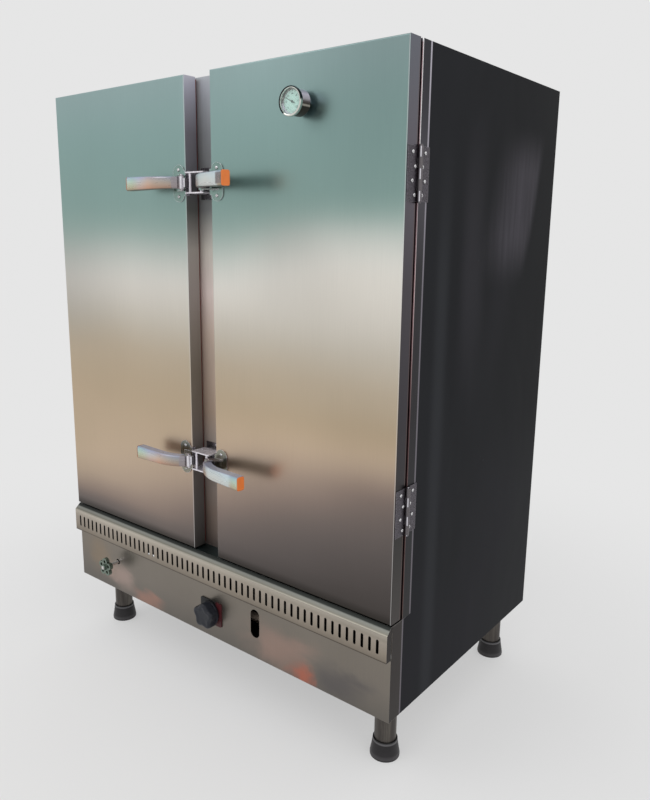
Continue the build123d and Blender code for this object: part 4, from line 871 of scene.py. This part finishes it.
def wool():
    """Yellow-brown insulation cloth."""
    paint = Paint("insulation_wool")
    strands = paint.noise(140.0, 6.0, (1.0, 1.0, 3.0), 0.7, 1.0)
    shade = strands.ramp(colour, (0.3, 150, 132, 84), (0.7, 206, 188, 132))
    return paint.finish(shade, 0.0, 0.95, paint.bump(strands, 0.002, 0.8))


def clear_glass():
    """Thin window glass: nearly clear, with a faint smear in its gloss."""
    paint = Paint("clear_glass")
    faint = paint.noise(40.0, 2.0)
    paint.set("Alpha", faint.fit(0.3, 0.7, 0.07, 0.11))
    return paint.finish((0.8, 0.92, 0.88, 1), 0.0, faint.fit(0.3, 0.7, 0.02, 0.06))


def dial_face():
    """Mint-white dial, darker at its rim as painted shade, with a border ring painted as the case's
    silver wall: a painted highlight low on the left, painted shade high on the left, mint grey on the
    right.
    """
    paint = Paint("dial_face")
    out_x, out_z, radius = paint.from_gauge()
    # Darker towards the rim as painted shade.
    shade = radius.fit(0.0, 0.025).ramp(
        colour, (0.0, 196, 234, 222), (0.7, 190, 228, 218), (0.94, 196, 224, 214), (1.0, 150, 176, 168)
    )
    mottle = paint.noise(120.0, 3.0)
    shade = paint.tint(shade, mottle.fit(0.2, 0.8, 0.96, 1.03))
    # Border ring with painted light: a painted highlight low on the left, painted shade high on the
    # left, mint grey on the right.
    border = radius.fit(0.0216, 0.0219)
    low = out_z.fit(0.004, -0.004)
    left_wall = paint.mix(low, colour(120, 112, 110), colour(226, 230, 240))
    wall = left_wall.mix(out_x.fit(0.0, 0.01), colour(176, 196, 188))
    return paint.finish(shade.mix(border, wall), 0.0, 0.5)


def gauge_case():
    """Thermometer case with painted reflections: lilac white above, dark brown below, with a thin cream
    line, and painted pale light on its back.
    """
    paint = Paint("gauge_case")
    up = paint.normal[2]
    # Painted reflections by the way each face looks up or down.
    shade = up.fit(-1.0, 1.0).ramp(
        colour, (0.0, 52, 46, 42), (0.3, 50, 43, 38), (0.335, 176, 168, 158), (0.37, 168, 160, 150),
        (0.4, 64, 54, 50), (0.5, 104, 95, 96), (0.58, 190, 182, 190), (0.74, 212, 204, 220),
        (0.88, 150, 150, 164), (1.0, 150, 168, 172)
    )
    # Painted pale light on the back, which the door mirrors.
    behind = paint.normal[1].smooth(0.5, 0.9)
    shade = shade.mix(behind, colour(150, 148, 160))
    scuffs = paint.noise(55.0, 5.0, (1.0, 1.0, 2.0), 0.6)
    return paint.finish(
        paint.tint(shade, scuffs.fit(0.25, 0.75, 0.92, 1.05)), 0.2, scuffs.fit(0.25, 0.75, 0.3, 0.42),
        gloss=0.3
    )


def base_steel():
    """Base frame and leg tubes: dull grey with upright streaks."""
    paint = Paint("base_steel")
    streaks = paint.noise(30.0, 5.0, (2.0, 2.0, 0.15), 0.65)
    shade = streaks.ramp(steel, (0.3, 50, 47, 45), (0.5, 72, 68, 65), (0.7, 98, 94, 88))
    return paint.finish(shade, 0.9, streaks.fit(0.3, 0.7, 0.34, 0.5), paint.bump(streaks, 0.0001, 0.6))


def make_materials():
    """One material for each slot."""
    return {
        "stainless": frame_sheet(),
        "inner_stainless": brushed("inner_sheet", steel(172, 172, 170), roughness=0.3),
        "dark_casing": side_sheet(),
        "bright_steel": polished("bright_steel", (196, 192, 190), (70, 66, 68)),
        "gasket_rubber": gasket(),
        "insulation": wool(),
        "orange_plastic": plug_plastic(),
        "black_plastic": moulded("black_plastic", colour(27, 30, 38), 0.42, 0.35),
        "foot_black": foot_plastic(),
        "brass": cast("brass", steel(190, 160, 92), 0.4, 1.0, 0.0001),
        "wheel_metal": cast("wheel_metal", steel(112, 124, 114), 0.42, 1.0, 0.0001),
        "cast_iron": cast("cast_iron", colour(52, 50, 50), 0.7, 0.3),
        "gas_pipe_steel": cast("gas_pipe_steel", colour(150, 136, 124), 0.5, 0.3, 0.0001),
        "frame_steel": base_steel(),
        "dial_white": dial_face(),
        "pointer_dark": moulded("pointer_dark", colour(26, 58, 54)),
        "glass": clear_glass(),
    }


def colour_nodes(materials):
    """Every CAD node takes the material of its slot, or one of its own."""
    casing = brushed("casing_sheet", steel(132, 133, 132), "x", 0.36, 0.05, 0.0008, 0.0012)
    shared = (
        (door_steel(), ("left_door_skin", "right_door_skin")),
        (front_steel(), ("lower_front_panel", "vent_strip")),
        (sooty_sheet(), ("water_tank", "burner_shield")),
        (knob_plate(), ("knob_escutcheon",)),
        (hinge_steel(), ("left_door_hinge_leaves", "right_door_hinge_leaves", "frame_hinge_leaves")),
        (latch_steel(), ("left_door_latch_bases", "right_door_latch_bases")),
        (keeper_steel(), ("latch_keepers",)),
        (gauge_case(), ("thermometer_case",)),
        (casing, ("back_panel", "top_panel", "flue_collar")),
    )
    own = {name: material for material, names in shared for name in names}
    slots = {row["node"]: row["material_slot"] for row in frame["record"]["subparts"]}
    for name, node in frame["nodes"].items():
        node.data.materials.clear()
        node.data.materials.append(own.get(name) or materials[slots[name]])


# Detailed pieces: helpers for turned, lofted and repeated shapes


def turned(bm, profile, origin, axis="z", steps=64):
    """Turns a line of (radius, distance along the axis) points round an axis through origin."""

    def point(radius, along, angle):
        a = radius * cos(angle)
        b = radius * sin(angle)
        offset = {"x": (along, a, b), "y": (a, along, b), "z": (a, b, along)}[axis]
        return Vector(origin) + Vector(offset)

    rows = []
    for radius, along in profile:
        count = steps if radius > 0 else 1
        rows.append([bm.verts.new(point(radius, along, tau * i / steps)) for i in range(count)])
    for lower, upper in zip(rows, rows[1:]):
        for i in range(steps):
            j = i + 1
            places = ((lower, i), (lower, j), (upper, j), (upper, i))
            corners = list(dict.fromkeys(row[at % len(row)] for row, at in places))
            if len(corners) > 2:
                bm.faces.new(corners)


def band(bm, a, b):
    """Faces between two closed rows of vertices."""
    for i in range(len(a)):
        j = (i + 1) % len(a)
        bm.faces.new((a[i], a[j], b[j], b[i]))


def lofted(bm, rings, around=False):
    """Faces between closed rings of points; the ends are closed, or the last ring meets the first."""
    rows = [[bm.verts.new(p) for p in ring] for ring in rings]
    for a, b in zip(rows, rows[1:]):
        band(bm, a, b)
    if around:
        band(bm, rows[-1], rows[0])
    else:
        bm.faces.new(list(reversed(rows[0])))
        bm.faces.new(rows[-1])


def piece(name, bm, body, material, replaced=(), crease=32.0):
    """A finished object from mesh code, riding on its body."""
    bmesh.ops.remove_doubles(bm, verts=bm.verts, dist=0.000001)
    bmesh.ops.recalc_face_normals(bm, faces=bm.faces)
    for face in bm.faces:
        face.smooth = True
    mesh = bpy.data.meshes.new(name)
    bm.to_mesh(mesh)
    bm.free()
    mesh.set_sharp_from_angle(angle=radians(crease))
    mesh.materials.append(material)
    obj = bpy.data.objects.new(name, mesh)
    bpy.context.scene.collection.objects.link(obj)
    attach(obj, body)
    if replaced:
        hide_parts(*replaced)
    return obj


def rounded_rectangle(width, height, radius, steps=5):
    """Points round a rectangle with rounded corners, centred on zero."""
    points = []
    for turn, (sx, sz) in enumerate(((1, 1), (-1, 1), (-1, -1), (1, -1))):
        cx = sx * (width / 2 - radius)
        cz = sz * (height / 2 - radius)
        for i in range(steps + 1):
            angle = pi / 2 * (turn + i / steps)
            points.append((cx + radius * cos(angle), cz + radius * sin(angle)))
    return points


# Levers and their plugs


def lever_matrix(side, height):
    """From the closed right-hand lever at level zero to a lever's place at rest."""
    lift = Matrix.Translation((0, 0, latch_levels[height]))
    if side == "left":
        return lift @ Matrix.Diagonal((-1, 1, 1, 1))
    open_angle = -radians(lever_rest[height])
    there = Matrix.Translation(lever_pivot)
    return lift @ there @ Matrix.Rotation(open_angle, 4, "Z") @ there.inverted()


def channel_ring(place, inward, half, floor):
    """Section of a channel with rounded corners; its open side looks towards the door."""
    depth = lever_outer - lever_inner - 2 * lever_hair
    steps = 5
    arc = []
    for i in range(steps + 1):
        angle = pi / 2 * i / steps
        u = lever_corner - lever_corner * sin(angle)
        arc.append((u, half - lever_corner + lever_corner * cos(angle)))
    inner = half - lever_wall
    round_in = lever_corner - lever_wall
    cut = [(depth, inner), (floor + round_in, inner), (floor, inner - round_in)]
    outline = [(depth, -half)] + [(u, -v) for u, v in arc] + arc[::-1] + [(depth, half)]
    outline += cut + [(u, -v) for u, v in reversed(cut)]
    return [place + inward * u + Vector((0, 0, v)) for u, v in outline]


def lever_half(x):
    """Half height of the channel, which widens a little towards its tip."""
    return lever_root_half + (x - lever_root_x) / lever_length * lever_widening - lever_hair


def lever_channel(bm):
    """The bent root, solid at first, and the straight channel after it."""
    centre = Vector((lever_bend_centre[0], lever_bend_centre[1], 0))
    first, solid_until, steps, straight = 36.0, 27.0, 22, 8
    rings = []
    for i in range(steps + 1):
        angle = first * (1 - i / steps)
        outward = Vector((-sin(radians(angle)), -cos(radians(angle)), 0))
        place = centre + outward * (lever_outer - lever_hair)
        floor = lever_wall if angle < solid_until else lever_outer - lever_inner - 0.0015
        rings.append(channel_ring(place, -outward, lever_half(place.x), floor))
    for i in range(1, straight + 1):
        x = centre.x + (lever_end - centre.x) * i / straight
        place = Vector((x, centre.y - lever_outer + lever_hair, 0))
        rings.append(channel_ring(place, Vector((0, 1, 0)), lever_half(x), lever_wall))
    lofted(bm, rings)


def lever_nose(bm):
    """The round boss on the pivot and the nose that points to the keeper."""
    hole, tall = 0.0031, 0.014
    side = [(0.008, -tall), (0.0085, -0.0135), (0.0085, 0.0135), (0.008, tall)]
    boss = [(hole, -tall)] + side + [(hole, tall)]
    turned(bm, boss + boss[:1], lever_pivot, "z", 40)
    root, reach, radius, tall, chamfer = 0.006, 0.0155, 0.0035, 0.01, 0.0005
    plan = [(root, -radius), (reach, -radius)]
    for i in range(1, 12):
        angle = -pi / 2 + pi * i / 12
        plan.append((reach + radius * cos(angle), radius * sin(angle)))
    plan += [(reach, radius), (root, radius)]
    along = Vector((-sqrt(0.5), sqrt(0.5), 0))
    beside = Vector((-along.y, along.x, 0))
    rings = []
    for z, inset in ((-tall, chamfer), (-tall + chamfer, 0), (tall - chamfer, 0), (tall, chamfer)):
        start = lever_pivot + Vector((0, 0, z))
        shrink = 1 - inset / radius
        rings.append([start + along * (a - inset) + beside * (b * shrink) for a, b in plan])
    lofted(bm, rings)


def make_lever(side, height, material):
    """Channel lever with its boss and nose, in its place at rest."""
    name = f"{height}_{side}_lever"
    bm = bmesh.new()
    lever_channel(bm)
    lever_nose(bm)
    bm.transform(lever_matrix(side, height))
    piece(name + "_channel", bm, name, material, (name,))


def make_plug(side, height, material):
    """Moulded end plug: a rounded cap with a raised rim and the stem that grips the channel."""
    name = f"{height}_{side}_lever"
    cap = (0.0210, 0.0320, 0.0050, -0.3877)
    stem = (0.0150, 0.0248, 0.0024, plug_middle)

    def ring(x, inset, shape=cap):
        deep, tall, radius, middle = shape
        points = rounded_rectangle(deep - 2 * inset, tall - 2 * inset, max(radius - inset, 0.0006))
        return [Vector((lever_end + x, middle + y, z)) for y, z in points]

    rings = [ring(-0.0195, 0.001, stem), ring(-0.0185, 0.0, stem), ring(0.0001, 0.0, stem)]
    rows = (
        (0.0001, 0.0004), (0.0004, 0.0), (0.001, 0.0), (0.0016, 0.0005), (0.0019, 0.0013),
        (0.002, 0.0024), (0.0018, 0.0034),
    )
    rings += [ring(x, inset) for x, inset in rows]
    rings.append(ring(0.0018, 0.0046, (0.0210, 0.0320, 0.0052, -0.3877)))
    bm = bmesh.new()
    lofted(bm, rings)
    bm.transform(lever_matrix(side, height))
    piece(name + "_cap", bm, name, material, (name + "_plug",))


# Gas knob


def knob_radius(angle):
    """Outline of the grip: five round lobes round a middle disc, blended over a few degrees."""
    disc, lobes, lobe_middle, lobe_radius, blend = 0.028, 5, 0.024, 0.011, 10

    def sharp(turn):
        best = disc
        for i in range(lobes):
            off = turn - (pi / 2 + i * tau / lobes)
            across = lobe_middle * sin(off)
            if cos(off) > 0 and abs(across) < lobe_radius:
                best = max(best, lobe_middle * cos(off) + sqrt(lobe_radius**2 - across**2))
        return best

    spread = [sharp(angle + radians(step)) for step in range(-blend, blend + 1)]
    return sum(spread) / len(spread)


def make_knob(material):
    """Lobed grip, the skirt behind it and the spindle."""
    bm = bmesh.new()
    x, z = knob_place
    count = 120
    outline = [(tau * i / count, knob_radius(tau * i / count)) for i in range(count)]
    levels = [
        (-0.3455, 0.001), (-0.3462, 0.0002), (-0.362, 0.0002), (-0.3655, 0.0008), (-0.368, 0.0022),
        (-0.3694, 0.0042), (-0.37, 0.0068), (-0.3699, 0.0096), (-0.3692, 0.012), (-0.3688, 0.015),
    ]
    rings = []
    for y, inset in levels:
        reaches = [(angle, radius - inset) for angle, radius in outline]
        rings.append([Vector((x + r * cos(angle), y, z + r * sin(angle))) for angle, r in reaches])
    lofted(bm, rings)
    skirt = [
        (0.0, -0.3456), (0.03, -0.3456), (0.031, -0.3448), (0.031, -0.3408), (0.0304, -0.3402),
        (0.0, -0.3402),
    ]
    turned(bm, skirt, (x, 0, z), "y", 72)
    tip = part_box("gas_knob")[1][1]
    spindle = [(0.0, -0.342), (0.004, -0.342), (0.004, tip - 0.0005), (0.0035, tip), (0.0, tip)]
    turned(bm, spindle, (x, 0, z), "y", 24)
    piece("gas_knob_grip", bm, "gas_knob", material, ("gas_knob",))


# Thermometer


def make_rim(material):
    """Rounded rim round the gauge's window."""
    bm = bmesh.new()
    profile = [
        (gauge_window, -0.382), (gauge_window, -0.3846), (0.0243, -0.3851), (0.0252, -0.3856),
        (0.0262, -0.3859), (0.0272, -0.3858), (0.028, -0.3852), (0.0284, -0.3844), (gauge_rim, -0.3836),
        (gauge_rim, -0.3798), (0.0282, -0.3791), (0.0261, -0.3791), (0.0261, -0.382)
    ]
    turned(bm, profile + profile[:1], (gauge_centre.x, 0, gauge_centre.z), "y", 96)
    piece("gauge_rim", bm, "right_door", material, ("thermometer_bezel",))


def dial_way(degrees):
    """Directions along and across a line from the middle of the dial."""
    along = Vector((cos(radians(degrees)), 0, sin(radians(degrees))))
    return along, Vector((-along.z, 0, along.x))


def strip(bm, degrees, start, end, half_start, half_end, plane, thick):
    """Thin tapered bar on the dial, from start to end in one direction."""
    along, across = dial_way(degrees)
    corners = ((start, -half_start), (end, -half_end), (end, half_end), (start, half_start))
    rings = []
    for y in (plane, plane - thick):
        spots = [gauge_centre + along * reach + across * half for reach, half in corners]
        rings.append([Vector((spot.x, y, spot.z)) for spot in spots])
    lofted(bm, rings)


def add_numeral(bm, number, degrees):
    """A plain number standing on the dial."""
    curve = bpy.data.curves.new("numeral", "FONT")
    curve.body = str(number)
    curve.size = 0.005
    curve.align_x = "CENTER"
    curve.align_y = "CENTER"
    curve.extrude = 0.00003
    curve.resolution_u = 3
    numeral = bpy.data.objects.new("numeral", curve)
    shape = bpy.data.meshes.new_from_object(numeral)
    spot = gauge_centre + dial_way(degrees)[0] * 0.015
    spot.y = dial_plane - 0.00007
    shape.transform(Matrix.Translation(spot) @ Matrix.Rotation(pi / 2, 4, "X"))
    bm.from_mesh(shape)
    bpy.data.objects.remove(numeral)
    bpy.data.curves.remove(curve)
    bpy.data.meshes.remove(shape)


def make_dial_marks(material):
    """Ticks and plain numbers printed on the dial."""
    bm = bmesh.new()
    divisions = 60
    ticks = ((10, 0.0185, 0.00032), (5, 0.0196, 0.00022), (1, 0.0203, 0.00014))
    for i in range(divisions + 1):
        start, half = next(sizes for every, *sizes in ticks if i % every == 0)
        degrees = dial_start - dial_sweep * i / divisions
        strip(bm, degrees, start, 0.0218, half, half, dial_plane - 0.00004, 0.00006)
    for i in range(7):
        add_numeral(bm, 20 * i, dial_start - dial_sweep * i / 6)
    piece("dial_marks", bm, "right_door", material)


def make_pointer(material):
    """Tapered hand with a short tail and a hub."""
    bm = bmesh.new()
    bars = (
        (0.0, 0.017, 0.00075, 0.00045), (0.017, 0.0198, 0.00045, 0.00008),
        (-0.0068, 0.0, 0.0013, 0.0007),
    )
    for bar in bars:
        strip(bm, pointer_rest, *bar, -0.37815, 0.0003)
    hub = [
        (0.0, -0.3775), (0.0022, -0.3775), (0.0024, -0.3777), (0.0024, -0.3786), (0.0018, -0.379),
        (0.0, -0.3791),
    ]
    turned(bm, hub, (gauge_centre.x, 0, gauge_centre.z), "y", 32)
    piece("gauge_hand", bm, "pointer", material, ("thermometer_pointer",))


# Levelling feet


def make_foot(name, material):
    """Flared cup with raised rings, and the threaded stud inside it."""
    x, y = foot_places[name]
    bm = bmesh.new()
    profile = [
        (0.0, 0.0), (0.0325, 0.0), (0.0342, 0.001), (0.0345, 0.003), (0.0345, 0.007), (0.0338, 0.0082),
        (0.0339, 0.0092), (0.0334, 0.013), (0.0324, 0.018), (0.0314, 0.0235), (0.0305, 0.029),
        (0.0298, 0.034), (0.0293, 0.038), (0.0288, 0.0395), (0.0288, 0.0405), (0.0288, 0.0412),
        (0.0285, 0.0445), (0.028, 0.045), (0.0262, 0.045), (0.0258, 0.0445), (0.0258, 0.0197),
        (0.006, 0.0197), (0.005, 0.021)
    ]
    pitch = 0.0015
    z = 0.0225
    while z < 0.0765:
        profile += [(0.005, z), (0.0046, z + pitch / 2)]
        z += pitch
    profile += [(0.0044, 0.0775), (0.0, 0.078)]
    turned(bm, profile, (x, y, 0), "z", 72)
    piece(name + "_cup", bm, name, material, (name,), 28.0)


# Gaskets


def make_gasket(side, material):
    """Hollow-lip rubber profile run round the back of a door, mitred at its corners."""
    name = f"{side}_door_gasket"
    low, high = (Vector(corner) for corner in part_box(name))
    bm = bmesh.new()
    front, back = low.y + 0.0001, high.y - 0.0001
    profile = [
        (0.0, 0.0), (0.0, 0.16), (0.0022, 0.24), (0.0012, 0.42), (0.001, 0.66), (0.0022, 0.86),
        (0.0046, 0.97), (0.007, 1.0), (0.0094, 0.97), (0.0118, 0.86), (0.013, 0.66), (0.0128, 0.42),
        (0.0118, 0.24), (0.014, 0.16), (0.014, 0.0)
    ]
    rings = []
    for sx, sz in ((1, 1), (-1, 1), (-1, -1), (1, -1)):
        x = low.x if sx > 0 else high.x
        z = low.z if sz > 0 else high.z
        places = [(inward, front + (back - front) * depth) for inward, depth in profile]
        rings.append([Vector((x + sx * inward, y, z + sz * inward)) for inward, y in places])
    lofted(bm, rings, around=True)
    piece(f"{side}_door_seal", bm, f"{side}_door", material, (name,), 60.0)


# Screws


def separate_parts(node):
    """Lowest and highest corners of each separate part of a CAD node."""
    mesh = node.data
    joined = {}
    first_at = {}

    def find(i):
        while joined.setdefault(i, i) != i:
            joined[i] = joined[joined[i]]
            i = joined[i]
        return i

    for vertex in mesh.vertices:
        key = tuple(round(c, 6) for c in vertex.co)
        joined[find(vertex.index)] = find(first_at.setdefault(key, vertex.index))
    for edge in mesh.edges:
        joined[find(edge.vertices[0])] = find(edge.vertices[1])
    groups = {}
    for vertex in mesh.vertices:
        groups.setdefault(find(vertex.index), []).append(vertex.co)
    parts = []
    for points in groups.values():
        low = Vector(min(p[i] for p in points) for i in range(3))
        high = Vector(max(p[i] for p in points) for i in range(3))
        parts.append((low, high, points))
    return sorted(parts, key=lambda part: tuple(part[0]))


def screw_shape(length):
    """Pan-head screw with a cross recess, pointing down its Z axis from under its head."""
    bm = bmesh.new()
    radius = screw_head_radius - 0.00003
    height = screw_head_height - 0.00003
    steps = 24
    profile = [
        (radius, 0.0), (radius, 0.35 * height), (0.93 * radius, 0.72 * height),
        (0.76 * radius, 0.94 * height), (0.6 * radius, height)
    ]
    turns = [(cos(tau * i / steps), sin(tau * i / steps)) for i in range(steps)]
    rows = [[bm.verts.new((reach * c, reach * s, z)) for c, s in turns] for reach, z in profile]
    for lower, upper in zip(rows, rows[1:]):
        band(bm, lower, upper)
    arm, half = 0.46 * radius, 0.11 * radius
    cross = [
        (arm, -half), (arm, half), (half, half), (half, arm), (-half, arm), (-half, half), (-arm, half),
        (-arm, -half), (-half, -half), (-half, -arm), (half, -arm), (half, -half)
    ]
    top = [bm.verts.new((x, y, height)) for x, y in cross]
    floor = [bm.verts.new((0.8 * x, 0.8 * y, 0.45 * height)) for x, y in cross]
    band(bm, top, floor)
    bm.faces.new(floor)
    edges = [bm.edges.get((row[i], row[i - 1])) for row in (rows[-1], top) for i in range(len(row))]
    bmesh.ops.triangle_fill(bm, use_beauty=True, edges=edges)
    shank = screw_shank_radius
    lower = [
        (radius, 0.0), (shank, 0.0), (shank, -length + 0.0006), (0.6 * shank, -length), (0.0, -length)
    ]
    turned(bm, lower, (0, 0, 0), "z", steps)
    bmesh.ops.remove_doubles(bm, verts=bm.verts, dist=0.000001)
    return bm


def make_screws(node_name, body, material):
    """A detailed screw wherever the CAD node has one."""
    all_screws = bmesh.new()
    for number, (low, high, points) in enumerate(separate_parts(frame["nodes"][node_name])):
        size = high - low
        middle = (low + high) / 2
        axis = max(range(3), key=lambda i: abs(size[i] - 2 * screw_head_radius))
        wide = []
        for p in points:
            off = Vector(p) - middle
            off[axis] = 0
            if off.length > 0.9 * screw_head_radius:
                wide.append(p[axis])
        sign = 1 if sum(wide) / len(wide) > middle[axis] else -1
        head_top = high[axis] if sign > 0 else low[axis]
        seat = middle.copy()
        seat[axis] = head_top - sign * screw_head_height
        out = Vector((0, 0, 0))
        out[axis] = sign
        one = screw_shape(size[axis] - screw_head_height)
        spin = Matrix.Rotation(0.7 * number, 4, "Z")
        turn = out.to_track_quat("Z", "Y").to_matrix().to_4x4()
        one.transform(Matrix.Translation(seat) @ turn @ spin)
        shape = bpy.data.meshes.new("one_screw")
        one.to_mesh(shape)
        one.free()
        all_screws.from_mesh(shape)
        bpy.data.meshes.remove(shape)
    piece(node_name + "_cross_head", all_screws, body, material, (node_name,), 30.0)


make_camera()
bpy.context.scene.view_settings.view_transform = "Standard"
make_world()
make_floor()
area_lamp("key", (-1.8, -3.6, 4.4), (0, 0, 0.8), 3.0, key_power)
area_lamp("fill", (4.2, -1.2, 3.2), (0, 0, 0.8), 3.0, fill_power)
materials = make_materials()
colour_nodes(materials)

make_knob(materials["black_plastic"])
bright_lever = lever_steel()
for side in ("left", "right"):
    make_gasket(side, materials["gasket_rubber"])
    for height in latch_levels:
        make_lever(side, height, bright_lever)
        make_plug(side, height, materials["orange_plastic"])
make_rim(rim_steel())
make_dial_marks(materials["pointer_dark"])
make_pointer(materials["pointer_dark"])
for name in foot_places:
    make_foot(name, materials["foot_black"])
plated = screw_steel()
make_screws("frame_screws", "cabinet", plated)
make_screws("left_door_screws", "left_door", plated)
make_screws("right_door_screws", "right_door", plated)
